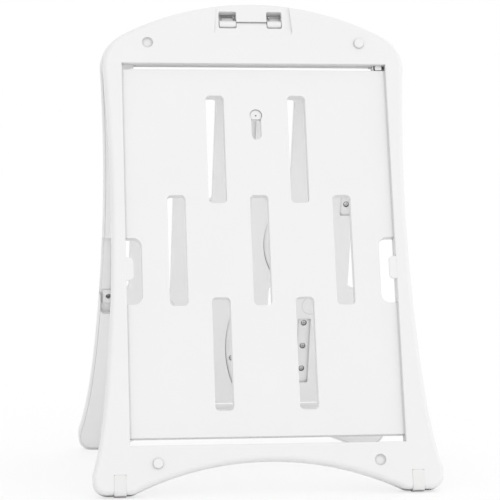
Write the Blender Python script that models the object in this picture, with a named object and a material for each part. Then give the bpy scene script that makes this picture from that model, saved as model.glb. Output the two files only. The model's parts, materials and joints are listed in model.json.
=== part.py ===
"""Folding A-frame board: two equal hollow plastic leaves hinged at the top, each with a sheet panel.

Each leaf is designed in leaf coordinates, in millimetres: u runs across the leaf from its centre line,
v runs down it from the top of its arch, and w runs outward from its inner face. The rear leaf is the
front leaf turned half a turn about the vertical, so both leaves share the same meshes.
World frame: metres, +Z up, +X to the right, the front leaf on the -Y side, the origin on the floor under
the hinge.
"""

import math

import bmesh
import bpy
from mathutils import Vector
from mathutils.geometry import tessellate_polygon

MM = 0.001
GAP = 0.3
OVER = 2.0

# Leaf outline
LEAF_THICK = 35.0
TOP_RADIUS = 635.0
SHOULDER_RADIUS = 88.0
SHOULDER_HALF_WIDTH = 347.8
WAIST_HALF_WIDTH = 335.0
WAIST_V = 469.0
SHOULDER_SPAN = 321.0
SHOULDER_SWELL = 12.8
FLARE_SPAN = 600.0
FLARE = 36.0
FLARE_TIP = 11.0
FOOT_V = 1130.5
FOOT_RADIUS = 25.0
FOOT_TIP_V = 1085.0
ARCH_RADIUS = 684.0
ARCH_TOP_V = 1061.0
ARCH_END_U = 292.0
FRONT_ROUNDING = 11.0
BACK_CHAMFER = 2.0

# Window, sheet panel and its openings
WINDOW_HALF = 305.0
WINDOW_TOP = 146.7
WINDOW_BOTTOM = 1025.3
PANEL_FACE_W = 24.0
PANEL_TOP = 159.0
PANEL_BOTTOM = 1008.0
SLOT_WIDTH = 41.3
SLOT_HEIGHT = 255.0
SLOT_RADIUS = 10.0
SLOT_PITCH_U = 188.3
SLOT_PITCH_V = 236.6
SLOT_CENTRE_V = 585.4
HANDHOLD_INNER_U = 269.0
HANDHOLD_V = (557.0, 709.0)
HANDHOLD_RADIUS = 20.0
TAB_INNER_U = 288.5
TAB_V = (603.5, 655.5)
TAB_W = (28.0, 34.0)
TAB_RADIUS = 9.0
HANGER_V = 268.0
HANGER_RADIUS = 14.0
HANGER_SLOT_HALF = 11.0
HANGER_SLOT_TOP = 277.0
HANGER_SLOT_BOTTOM = 326.0
HANGER_RECESS_W = 17.0
HANGER_PLATE_THICK = 3.0
HANGER_HOLE_RADIUS = 1.8

# Sheet latch at the right end of the upper gap
GAP_END_U = 277.0
GAP_NOTCH_TOP = 137.7
GAP_NOTCH_W = 16.0
GAP_NOTCH_END_U = 270.0
GAP_STEP_U = 274.0
LATCH_POCKET_W = 8.0
LATCH_STEM_U = (282.3, 298.3)
LATCH_HEAD_U = (279.0, 301.6)
LATCH_W = (14.3, 23.5)
LATCH_STEM_V = (140.0, 157.5)
LATCH_HEAD_V = (134.0, 142.4)

# Shell walls and the inner cover
SIDE_WALL = 5.0
WINDOW_WALL = 4.0
COLLAR = 3.0
RING_CEILING_W = 29.0
PANEL_CEILING_W = 19.0
COVER_THICK = 3.0

# Stacking studs and sockets on the outer face
STUD_U = 245.0
STUD_TOP_V = 97.0
STUD_BOTTOM_V = 1065.0
STUD_RADIUS = 11.0
STUD_HEIGHT = 6.0
STUD_SHANK_RADIUS = 5.0
STUD_SHANK = 9.0
SOCKET_RADIUS = 12.5
SOCKET_DEPTH = 8.0
SOCKET_BOSS_RADIUS = 17.0

# Recesses in the inner cover
RECESS_FLOOR_W = 11.0
BLOCK_START_W = 1.0
BLOCK_END_W = 18.0
RECESS_RIM = 2.0
RECESS_RADIUS = 5.0
LONG_RECESS_U = (150.0, 182.0)
LONG_RECESS_V = ((211.0, 384.0), (782.0, 955.0))
LONG_SCREW_STEP = 61.5
LONG_SCREW_FIRST = 14.0
SHORT_RECESS_U = (238.5, 270.5)
SHORT_RECESS_V = (462.0, 513.0)
SHORT_SCREW_V = 485.5
GRIP_U = (311.0, 338.0)
GRIP_WALL = 1.6
GRIP_OPEN_V = 702.0
GRIP_OUT_U = 352.0
GRIP_V = (568.0, 764.5)
GRIP_RADIUS = 11.0
GRIP_FLOOR_W = 17.0
GRIP_SCREW = (317.6, 724.0)
GRIP_PAD_U = 332.5
GRIP_PAD_V = (707.0, 741.0)
GRIP_PAD_W = 14.0
GRIP_BOSS_RADIUS = 8.0
GRIP_BOSS_END_W = 28.0
GRIP_SCREW_SEAT_W = 26.5
GRIP_COUNTERBORE_RADIUS = 6.5
HANGER_POCKET = (24.5, 240.0, 342.0)
HANGER_POCKET_W = 8.0
LENS_SIDE = (89.0, 580.3, 34.2, 96.7)
LENS_MIDDLE = (0.0, 848.0, 28.8, 123.9)
LENS_FLOOR_W = 7.0
LENS_SKIN = 2.0
LENS_SCREW = (10.0, 888.0)
LONE_SCREW = (166.0, 425.0)
SCREW_BOSS_RADIUS = 10.5
COUNTERBORE_RADIUS = 7.5
COUNTERBORE_FLOOR_W = 16.5
SCREW_HEAD_RADIUS = 6.0
SCREW_HEAD = 3.0
SCREW_RADIUS = 2.0
SCREW_END_W = 22.5
RAIL_SCREW_END_W = 32.0
PLUG_UV = (180.0, 748.0)
PLUG_RADIUS = 22.0
PLUG_NECK_RADIUS = 17.0
PLUG_NECK_W = 9.0
PLUG_HEAD = 1.8
PLUG_BOSS_RADIUS = 25.0
PLUG_BOSS_W = 6.0

# Foot pads
PAD_U = (315.0, 341.0)
PAD_TOP_V = 1088.0
PAD_BOTTOM_V = 1134.0
PAD_FACE_W = 36.0
PAD_SEAT_W = 33.0
PAD_SEAT_V = 1126.5
PAD_BACK_W = 0.5
PAD_FLAT_W = 12.0
PAD_SEAT_RADIUS = 12.0
PAD_BOSS = (307.0, 349.0, 1112.0)

# Hinge
LEAN = math.radians(17.44)
HINGE_V = 38.0
HALF_GAP = 6.0
HINGE_BLOCK = (96.0, 84.0)
HINGE_WINDOW_V = (19.0, 59.5)
HINGE_WINDOW_LEFT = (-78.8, -37.8)
HINGE_WINDOW_RIGHT = (32.6, 67.6)
HINGE_WINDOW_RADIUS = 4.0
HINGE_POCKET = (33.0, 79.0)
HINGE_POCKET_W = 14.0
KNUCKLE_SPANS = ((34.0, 41.5), (42.0, 70.0), (70.5, 78.0))
OUTER_KNUCKLE_RADIUS = 14.5
MIDDLE_KNUCKLE_RADIUS = 16.5
WEB_W = 3.0
PIN_RADIUS = 4.0
PIN_SPAN = (34.5, 77.5)
BUSH_SPAN = (42.3, 69.7)
PIN_BORE_RADIUS = 4.3
BUSH_RADIUS = 6.0
BUSH_BORE_RADIUS = 6.3
LIP_TOP_V = 38.0
LIP_W = (13.2, 18.5, 29.0)
LIP_GAP = (1.6, 1.0)
BROW_BOTTOM_V = 80.0
BROW_RAMP_V = 60.0
BROW_HALF_WIDTH = (84.0, 92.0)
BROW_CORNER = 6.0
BROW_DEPTH = 5.0
BAR_BOTTOM_V = 43.5
GROOVE_BOTTOM_V = 60.0
GROOVE_DEPTH = 8.0

HINGE_Z = ((PAD_BOTTOM_V - HINGE_V) * math.cos(LEAN) - (PAD_FLAT_W + HALF_GAP) * math.sin(LEAN)) * MM


# ---------------------------------------------------------------- outlines, as lists of (u, v)

def arc(u, v, radius, start, end, steps):
    """Points on an arc; angles in degrees, 0 towards +u and 90 towards +v (down the leaf)."""
    angles = [math.radians(start + (end - start) * i / steps) for i in range(steps + 1)]
    return [(u + radius * math.cos(a), v + radius * math.sin(a)) for a in angles]


def circle(u, v, radius, steps=12):
    return arc(u, v, radius, 0.0, 360.0, steps)[:-1]


def box(u0, u1, v0, v1):
    return [(u0, v0), (u1, v0), (u1, v1), (u0, v1)]


def rounded_box(u0, u1, v0, v1, radius, steps=2):
    return (arc(u0 + radius, v0 + radius, radius, 180.0, 270.0, steps)
            + arc(u1 - radius, v0 + radius, radius, 270.0, 360.0, steps)
            + arc(u1 - radius, v1 - radius, radius, 0.0, 90.0, steps)
            + arc(u0 + radius, v1 - radius, radius, 90.0, 180.0, steps))


def lens(u, v, half_width, half_height, steps=5):
    """Two equal arcs that meet in points above and below."""
    radius = (half_width ** 2 + half_height ** 2) / (2.0 * half_width)
    reach = math.degrees(math.asin(half_height / radius))
    right = arc(u + half_width - radius, v, radius, -reach, reach, steps)
    left = arc(u - half_width + radius, v, radius, 180.0 - reach, 180.0 + reach, steps)
    return right[:-1] + left[:-1]


def mirrored(loop):
    return [(-u, v) for u, v in reversed(loop)]


def offset(loop, distance):
    """The loop moved inward by a distance; the loop runs clockwise as seen with v downward."""
    moved = []
    count = len(loop)
    for i, (u, v) in enumerate(loop):
        before = Vector(loop[i - 1])
        after = Vector(loop[(i + 1) % count])
        here = Vector((u, v))
        first = (here - before).normalized()
        second = (after - here).normalized()
        normal = Vector((-first.y, first.x)) + Vector((-second.y, second.x))
        normal.normalize()
        spread = normal.dot(Vector((-first.y, first.x)))
        moved.append(tuple(here + normal * (distance / spread)))
    return moved


def side_half_width(v):
    if v < WAIST_V:
        return WAIST_HALF_WIDTH + SHOULDER_SWELL * ((WAIST_V - v) / SHOULDER_SPAN) ** 1.8
    reach = (v - WAIST_V) / FLARE_SPAN
    return WAIST_HALF_WIDTH + FLARE * reach ** 2 + FLARE_TIP * reach ** 8


def leaf_outline():
    """Arched top, round shoulders, narrow waist, flared feet and an arch between the feet."""
    shoulder_u = SHOULDER_HALF_WIDTH - SHOULDER_RADIUS
    centre_drop = math.sqrt((TOP_RADIUS - SHOULDER_RADIUS) ** 2 - shoulder_u ** 2)
    shoulder_v = TOP_RADIUS - centre_drop
    tangent = math.degrees(math.atan2(centre_drop, shoulder_u))
    top = arc(0.0, TOP_RADIUS, TOP_RADIUS, -90.0, -tangent, 6)
    shoulder = arc(shoulder_u, shoulder_v, SHOULDER_RADIUS, -tangent, 0.0, 4)
    stations = [shoulder_v + (FOOT_TIP_V - shoulder_v) * i / 10 for i in range(1, 11)]
    side = [(side_half_width(v), v) for v in stations]
    tip_u = side_half_width(FOOT_TIP_V)
    foot = arc(tip_u - FOOT_RADIUS, FOOT_V - FOOT_RADIUS, FOOT_RADIUS, 10.0, 90.0, 3)
    arch_v = ARCH_TOP_V + ARCH_RADIUS
    arch_end = math.degrees(math.acos(ARCH_END_U / ARCH_RADIUS))
    arch = arc(0.0, arch_v, ARCH_RADIUS, -arch_end, -90.0, 6)
    right = top + shoulder[1:] + side + foot + [(ARCH_END_U + 12.0, FOOT_V)] + arch
    return right + [(-u, v) for u, v in reversed(right[1:-1])]


def slot_centres():
    rows = ((-0.5, 0.5), (-1.0, 0.0, 1.0), (-0.5, 0.5))
    return [(column * SLOT_PITCH_U, SLOT_CENTRE_V + (row - 1) * SLOT_PITCH_V)
            for row, columns in enumerate(rows) for column in columns]


def slot_loop(u, v, grow=0.0):
    half_width = SLOT_WIDTH / 2 + grow
    half_height = SLOT_HEIGHT / 2 + grow
    steps = 1 if grow else 2
    return rounded_box(u - half_width, u + half_width, v - half_height, v + half_height,
                       SLOT_RADIUS + grow, steps)


def handhold_loop(grow=0.0):
    """The right handhold: rounded towards the panel, square against the window's edge."""
    u0 = HANDHOLD_INNER_U - grow
    v0 = HANDHOLD_V[0] - grow
    v1 = HANDHOLD_V[1] + grow
    radius = HANDHOLD_RADIUS + grow
    return ([(WINDOW_HALF, v0), (WINDOW_HALF, v1)]
            + arc(u0 + radius, v1 - radius, radius, 90.0, 180.0, 3)
            + arc(u0 + radius, v0 + radius, radius, 180.0, 270.0, 3))


def hanger_slot_loop(grow=0.0):
    half = HANGER_SLOT_HALF + grow
    bottom = arc(0.0, HANGER_SLOT_BOTTOM - HANGER_SLOT_HALF, half, 0.0, 180.0, 5)
    return [(-half, HANGER_SLOT_TOP - grow), (half, HANGER_SLOT_TOP - grow)] + bottom


def upper_gap_loop():
    return box(-WINDOW_HALF, GAP_END_U, WINDOW_TOP, PANEL_TOP)


def gap_notch_loop():
    """The wider back half of the upper gap, which opens the view through both leaves."""
    return box(-WINDOW_HALF, GAP_NOTCH_END_U, GAP_NOTCH_TOP, WINDOW_TOP + OVER)


def gap_stepped(reach):
    """The window with its walls, stepped round the notch of the upper gap."""
    top = WINDOW_TOP - WINDOW_WALL
    raised = GAP_NOTCH_TOP - WINDOW_WALL
    bottom = WINDOW_BOTTOM + WINDOW_WALL
    return [(-reach, raised), (GAP_STEP_U, raised), (GAP_STEP_U, top), (reach, top), (reach, bottom),
            (-reach, bottom)]


def lower_gap_loop():
    return box(-WINDOW_HALF, WINDOW_HALF, PANEL_BOTTOM, WINDOW_BOTTOM)


def through_loops():
    """Every opening that goes through the whole leaf, apart from those of the hinge."""
    slots = [slot_loop(u, v) for u, v in slot_centres()]
    handhold = handhold_loop()
    return slots + [handhold, mirrored(handhold), hanger_slot_loop(), upper_gap_loop(), lower_gap_loop()]


def grip_loop(grow=0.0):
    """The right rail's recess: open at the leaf's edge above, closed by a thin rim below."""
    u0, u1 = GRIP_U
    v0, v1 = GRIP_V
    u0 -= grow
    u1 += grow
    v0 -= grow
    v1 += grow
    radius = GRIP_RADIUS + grow
    return ([(u0, v0), (GRIP_OUT_U, v0), (GRIP_OUT_U, GRIP_OPEN_V), (u1, GRIP_OPEN_V + GRIP_OUT_U - u1)]
            + arc(u1 - radius, v1 - radius, radius, 0.0, 90.0, 3) + [(u0, v1)])


def brow_loop():
    """Plan of the shallow recess round the hinge, open at the top."""
    top, bottom = BROW_HALF_WIDTH
    low = BROW_BOTTOM_V
    right = [(top, -2 * OVER), (bottom, low - BROW_CORNER), (bottom - BROW_CORNER, low)]
    return right + mirrored(right)


def long_screws():
    """Three screws in the lower long recess; the upper one has none."""
    middle = sum(LONG_RECESS_U) / 2
    return [(middle, LONG_RECESS_V[1][0] + LONG_SCREW_FIRST + LONG_SCREW_STEP * i) for i in range(3)]


def panel_screws():
    """Screws between the cover and the panel, on both sides of the leaf."""
    right = long_screws() + [(sum(SHORT_RECESS_U) / 2, SHORT_SCREW_V), LONE_SCREW]
    return right + [(-u, v) for u, v in right] + [LENS_SCREW]


def rail_screws():
    return [GRIP_SCREW, (-GRIP_SCREW[0], GRIP_SCREW[1])]


# ---------------------------------------------------------------- solids

def place(u, v, w):
    """Leaf coordinates to the leaf's own axes, in metres, with the origin on the hinge axis."""
    return Vector((u * MM, -(w + HALF_GAP) * MM, -(v - HINGE_V) * MM))


def add_object(name, bm):
    bmesh.ops.recalc_face_normals(bm, faces=bm.faces)
    mesh = bpy.data.meshes.new(name)
    bm.to_mesh(mesh)
    bm.free()
    obj = bpy.data.objects.new(name, mesh)
    bpy.context.scene.collection.objects.link(obj)
    return obj


def loft_into(bm, rings):
    """A closed solid through rings of equally many points, each given as 3-D points."""
    rows = [[bm.verts.new(point) for point in ring] for ring in rings]
    for lower, upper in zip(rows, rows[1:]):
        for i in range(len(lower)):
            bm.faces.new((lower[i - 1], lower[i], upper[i], upper[i - 1]))
    bm.faces.new(rows[0])
    bm.faces.new(reversed(rows[-1]))


def prism_into(bm, loop, w0, w1):
    loft_into(bm, [[place(u, v, w) for u, v in loop] for w in (w0, w1)])


def prisms(name, items):
    """Separate prisms in one object; each item is (loop, w0, w1)."""
    bm = bmesh.new()
    for loop, w0, w1 in items:
        prism_into(bm, loop, w0, w1)
    return add_object(name, bm)


def extruded(name, items):
    """Separate solids of constant section across the leaf; each item is (u0, u1, section of (v, w))."""
    bm = bmesh.new()
    for u0, u1, section in items:
        loft_into(bm, [[place(u, v, w) for v, w in section] for u in (u0, u1)])
    return add_object(name, bm)


def plate(name, outline, holes, w0, w1):
    """A flat plate with holes."""
    loops = [outline] + holes
    corners = [point for loop in loops for point in loop]
    triangles = tessellate_polygon([[Vector((u, v, 0.0)) for u, v in loop] for loop in loops])
    bm = bmesh.new()
    low = [bm.verts.new(place(u, v, w0)) for u, v in corners]
    high = [bm.verts.new(place(u, v, w1)) for u, v in corners]
    for a, b, c in triangles:
        bm.faces.new((low[a], low[b], low[c]))
        bm.faces.new((high[c], high[b], high[a]))
    start = 0
    for loop in loops:
        for i in range(len(loop)):
            j = start + (i + 1) % len(loop)
            i += start
            bm.faces.new((low[i], low[j], high[j], high[i]))
        start += len(loop)
    return add_object(name, bm)


def tubes_into(bm, x0, x1, radius, bore=0.0, steps=16):
    """A round bar or tube along the hinge axis."""
    turns = [2.0 * math.pi * i / steps for i in range(steps)]

    def ring(x, r):
        return [bm.verts.new((x * MM, r * MM * math.cos(a), r * MM * math.sin(a))) for a in turns]

    outer = [ring(x0, radius), ring(x1, radius)]
    pairs = [(outer[0], outer[1])]
    if bore:
        inner = [ring(x0, bore), ring(x1, bore)]
        pairs += [(inner[1], inner[0]), (inner[0], outer[0]), (outer[1], inner[1])]
    else:
        bm.faces.new(outer[0])
        bm.faces.new(reversed(outer[1]))
    for first, second in pairs:
        for i in range(steps):
            bm.faces.new((first[i - 1], first[i], second[i], second[i - 1]))


def combine(obj, tool, operation):
    """Applies one exact Boolean and removes its tool."""
    modifier = obj.modifiers.new(operation, "BOOLEAN")
    modifier.operation = operation
    modifier.object = tool
    modifier.solver = "EXACT"
    graph = bpy.context.evaluated_depsgraph_get()
    result = bpy.data.meshes.new_from_object(obj.evaluated_get(graph))
    obj.modifiers.clear()
    obj.data = result
    bpy.data.objects.remove(tool)
    return obj


def cut(obj, tool):
    return combine(obj, tool, "DIFFERENCE")


def join(obj, tool):
    return combine(obj, tool, "UNION")


def common(obj, tool):
    return combine(obj, tool, "INTERSECT")


# ---------------------------------------------------------------- the pieces of one leaf

def socket_places():
    return [(-STUD_U, STUD_TOP_V), (STUD_U, STUD_BOTTOM_V)]


def stud_places():
    return [(STUD_U, STUD_TOP_V), (-STUD_U, STUD_BOTTOM_V)]


def outer_body(outline):
    """The full leaf with a well rounded outer edge and a small chamfer inside."""
    rings = [(BACK_CHAMFER, 0.0), (0.0, BACK_CHAMFER)]
    for degrees in (0.0, 45.0, 90.0):
        turn = math.radians(degrees)
        inset = FRONT_ROUNDING * (1.0 - math.cos(turn))
        rings.append((inset, LEAF_THICK - FRONT_ROUNDING + FRONT_ROUNDING * math.sin(turn)))
    bm = bmesh.new()
    loft_into(bm, [[place(u, v, w) for u, v in offset(outline, inset)] for inset, w in rings])
    return add_object("body", bm)


def hinge_block(w0, w1, grow=0.0):
    half, bottom = HINGE_BLOCK
    return prisms("block", [(box(-half - grow, half + grow, -OVER, bottom + grow), w0, w1)])


def ring_cavity(inset_outline):
    """The hollow of the frame all round the window, left solid at hinge, studs, sockets and foot pads."""
    reach = WINDOW_HALF + WINDOW_WALL
    window = gap_stepped(reach)
    bosses = [circle(u, v, SOCKET_BOSS_RADIUS, 8) for u, v in socket_places() + stud_places()]
    cavity = plate("ring", inset_outline, [window] + bosses, COVER_THICK, RING_CEILING_W)
    half, bottom = HINGE_BLOCK
    u0, u1, v0 = PAD_BOSS
    pad = box(u0, u1, v0, FOOT_V + OVER)
    solid = [(loop, COVER_THICK - OVER, RING_CEILING_W + OVER)
             for loop in (box(-half, half, -OVER, bottom), pad, mirrored(pad))]
    return cut(cavity, prisms("solid", solid))


def panel_cavity():
    """The hollow behind the panel, with a collar round each opening."""
    wall_u = WINDOW_HALF - WINDOW_WALL
    notch = [(u, v) for u, v in handhold_loop(COLLAR) if u < wall_u]
    v0 = HANDHOLD_V[0] - COLLAR
    v1 = HANDHOLD_V[1] + COLLAR
    right = ([(wall_u, PANEL_TOP + WINDOW_WALL), (wall_u, v0)] + list(reversed(notch))
             + [(wall_u, v1), (wall_u, PANEL_BOTTOM - WINDOW_WALL)])
    collars = [slot_loop(u, v, COLLAR) for u, v in slot_centres()]
    hanger = rounded_box(-HANGER_RADIUS - COLLAR, HANGER_RADIUS + COLLAR, HANGER_V - HANGER_RADIUS - COLLAR,
                         HANGER_SLOT_BOTTOM + COLLAR, SLOT_RADIUS)
    return plate("hollow", right + mirrored(right), collars + [hanger], COVER_THICK, PANEL_CEILING_W)


def hanger_pocket(grow=0.0):
    half, top, bottom = HANGER_POCKET
    return rounded_box(-half - grow, half + grow, top - grow, bottom + grow, half + grow, 3)


def leaf_shell(outline):
    """Frame and panel as one hollow moulding, open at the back for the cover."""
    shell = outer_body(outline)
    cut(shell, prisms("window", [(box(-WINDOW_HALF, WINDOW_HALF, WINDOW_TOP, WINDOW_BOTTOM),
                                  PANEL_FACE_W, LEAF_THICK + OVER)]))
    inset_outline = offset(outline, SIDE_WALL)
    seat = prisms("seat", [(inset_outline, -OVER, COVER_THICK + GAP)])
    cut(shell, cut(seat, hinge_block(-2 * OVER, COVER_THICK + OVER)))
    cut(shell, ring_cavity(inset_outline))
    cut(shell, panel_cavity())
    seat_end = HANGER_POCKET_W + RECESS_RIM + GAP
    cut(shell, prisms("hanger", [(hanger_pocket(RECESS_RIM + GAP), COVER_THICK - OVER, seat_end)]))
    cut(shell, prisms("openings", [(loop, -OVER, PANEL_FACE_W + OVER) for loop in through_loops()]))
    cut(shell, prisms("notch", [(gap_notch_loop(), -OVER, GAP_NOTCH_W)]))
    cut(shell, prisms("blind", blind_items()))
    cut(shell, latch_slot())
    grip = grip_loop()
    cut(shell, prisms("grips", [(grip, -OVER, GRIP_FLOOR_W), (mirrored(grip), -OVER, GRIP_FLOOR_W)]))
    tab = rounded_box(TAB_INNER_U, WINDOW_HALF + 15.0, *TAB_V, TAB_RADIUS)
    join(shell, prisms("tabs", [(tab, *TAB_W), (mirrored(tab), *TAB_W)]))
    cut_hinge(shell)
    cut(shell, pad_solids("pad_seats", GAP))
    return shell


def blind_items():
    """Sockets, stud holes, hanger recess, latch pocket and screw holes, none of which goes through."""
    items = [(circle(u, v, SOCKET_RADIUS), LEAF_THICK - SOCKET_DEPTH, LEAF_THICK + OVER)
             for u, v in socket_places()]
    items += [(circle(u, v, STUD_SHANK_RADIUS + GAP, 12), LEAF_THICK - STUD_SHANK - GAP, LEAF_THICK + OVER)
              for u, v in stud_places()]
    items.append((circle(0.0, HANGER_V, HANGER_RADIUS, 16), HANGER_RECESS_W, PANEL_FACE_W + OVER))
    items.append((box(GAP_END_U + OVER, WINDOW_HALF, WINDOW_TOP, PANEL_TOP),
                  LATCH_POCKET_W, PANEL_FACE_W + OVER))
    items += [(circle(u, v, SCREW_RADIUS + GAP, 6), PANEL_CEILING_W - OVER, SCREW_END_W + GAP)
              for u, v in panel_screws()]
    items += [(circle(u, v, SCREW_RADIUS + GAP, 6), RING_CEILING_W - OVER, RAIL_SCREW_END_W + GAP)
              for u, v in rail_screws()]
    return items


def latch_slot():
    """The slot through the window's edge that the latch's stem slides in."""
    loop = box(LATCH_STEM_U[0] - GAP, LATCH_STEM_U[1] + GAP,
               WINDOW_TOP - WINDOW_WALL - OVER, WINDOW_TOP + OVER)
    return prisms("slot", [(loop, LATCH_W[0] - GAP, LATCH_W[1] + GAP)])


def cut_hinge(shell):
    """The brow, groove, windows with their lips, knuckle pockets, top bevel and the leaf's own knuckles."""
    face = LEAF_THICK - BROW_DEPTH
    ramp = (LEAF_THICK + OVER - face) * (BROW_BOTTOM_V - BROW_RAMP_V) / BROW_DEPTH
    section = [(-2 * OVER, face), (BROW_RAMP_V, face), (BROW_RAMP_V + ramp, LEAF_THICK + OVER),
               (-2 * OVER, LEAF_THICK + OVER)]
    half = BROW_HALF_WIDTH[1] + OVER
    brow = prisms("brow", [(brow_loop(), face - OVER, LEAF_THICK + 2 * OVER)])
    cut(shell, common(brow, extruded("ramp", [(-half, half, section)])))
    groove = [(BAR_BOTTOM_V + (GROOVE_BOTTOM_V - BAR_BOTTOM_V) * t, face - GROOVE_DEPTH * (1.0 - t) ** 2)
              for t in (0.0, 0.25, 0.5, 1.0)]
    groove += [(GROOVE_BOTTOM_V, face + OVER), (BAR_BOTTOM_V, face + OVER)]
    cut(shell, extruded("groove", [(HINGE_WINDOW_LEFT[1] - OVER, HINGE_WINDOW_RIGHT[0] + OVER, groove)]))
    spans = (HINGE_WINDOW_LEFT, HINGE_WINDOW_RIGHT)
    cut(shell, prisms("windows", [(rounded_box(*span, *HINGE_WINDOW_V, HINGE_WINDOW_RADIUS),
                                   HINGE_POCKET_W - OVER, LEAF_THICK + OVER) for span in spans]))
    left = box(-HINGE_POCKET[1], -HINGE_POCKET[0], *HINGE_WINDOW_V)
    cut(shell, prisms("pockets", [(left, -OVER, HINGE_POCKET_W), (mirrored(left), -OVER, HINGE_POCKET_W)]))
    end = HINGE_WINDOW_V[1]
    under, crest, brim = LIP_W
    half = (end - LIP_TOP_V) / 2
    turns = [math.radians(a) for a in (0.0, 30.0, 60.0, 90.0, 120.0, 150.0, 180.0)]
    lip = [(end - half - half * math.cos(a), crest + (brim - crest) * math.sin(a)) for a in turns]
    lip += [(end + OVER, crest), (end + OVER, under), (LIP_TOP_V, under)]
    join(shell, extruded("lips", [(u0 + LIP_GAP[0], u1 - LIP_GAP[1], lip) for u0, u1 in spans]))
    low, middle, high = KNUCKLE_SPANS
    fork = [(-span[1], -span[0]) for span in (high, low)]
    web_v = (HINGE_WINDOW_V[0] - OVER, HINGE_WINDOW_V[1] + OVER)
    join(shell, prisms("webs", [(box(*span, *web_v), 0.0, WEB_W) for span in fork + [middle]]))
    cut(shell, top_bevel())
    knuckles = bmesh.new()
    for span in fork:
        tubes_into(knuckles, *span, OUTER_KNUCKLE_RADIUS)
    tubes_into(knuckles, *middle, MIDDLE_KNUCKLE_RADIUS)
    join(shell, add_object("knuckles", knuckles))
    bores = bmesh.new()
    for span in fork:
        tubes_into(bores, span[0] - GAP, span[1] + GAP, PIN_BORE_RADIUS, steps=14)
    tubes_into(bores, middle[0] - GAP, middle[1] + GAP, BUSH_BORE_RADIUS, steps=14)
    cut(shell, add_object("bores", bores))


def top_bevel():
    """Everything above the hinge that lies past the vertical plane between the open leaves."""
    near = GAP / math.cos(LEAN)
    reach = HINGE_V + OVER
    profile = [(-near, 0.0), (-near - reach * math.tan(LEAN), reach), (reach, reach), (reach, 0.0)]
    span = SHOULDER_HALF_WIDTH * MM
    bm = bmesh.new()
    loft_into(bm, [[(x, y * MM, z * MM) for y, z in profile] for x in (-span, span)])
    return add_object("bevel", bm)


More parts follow.
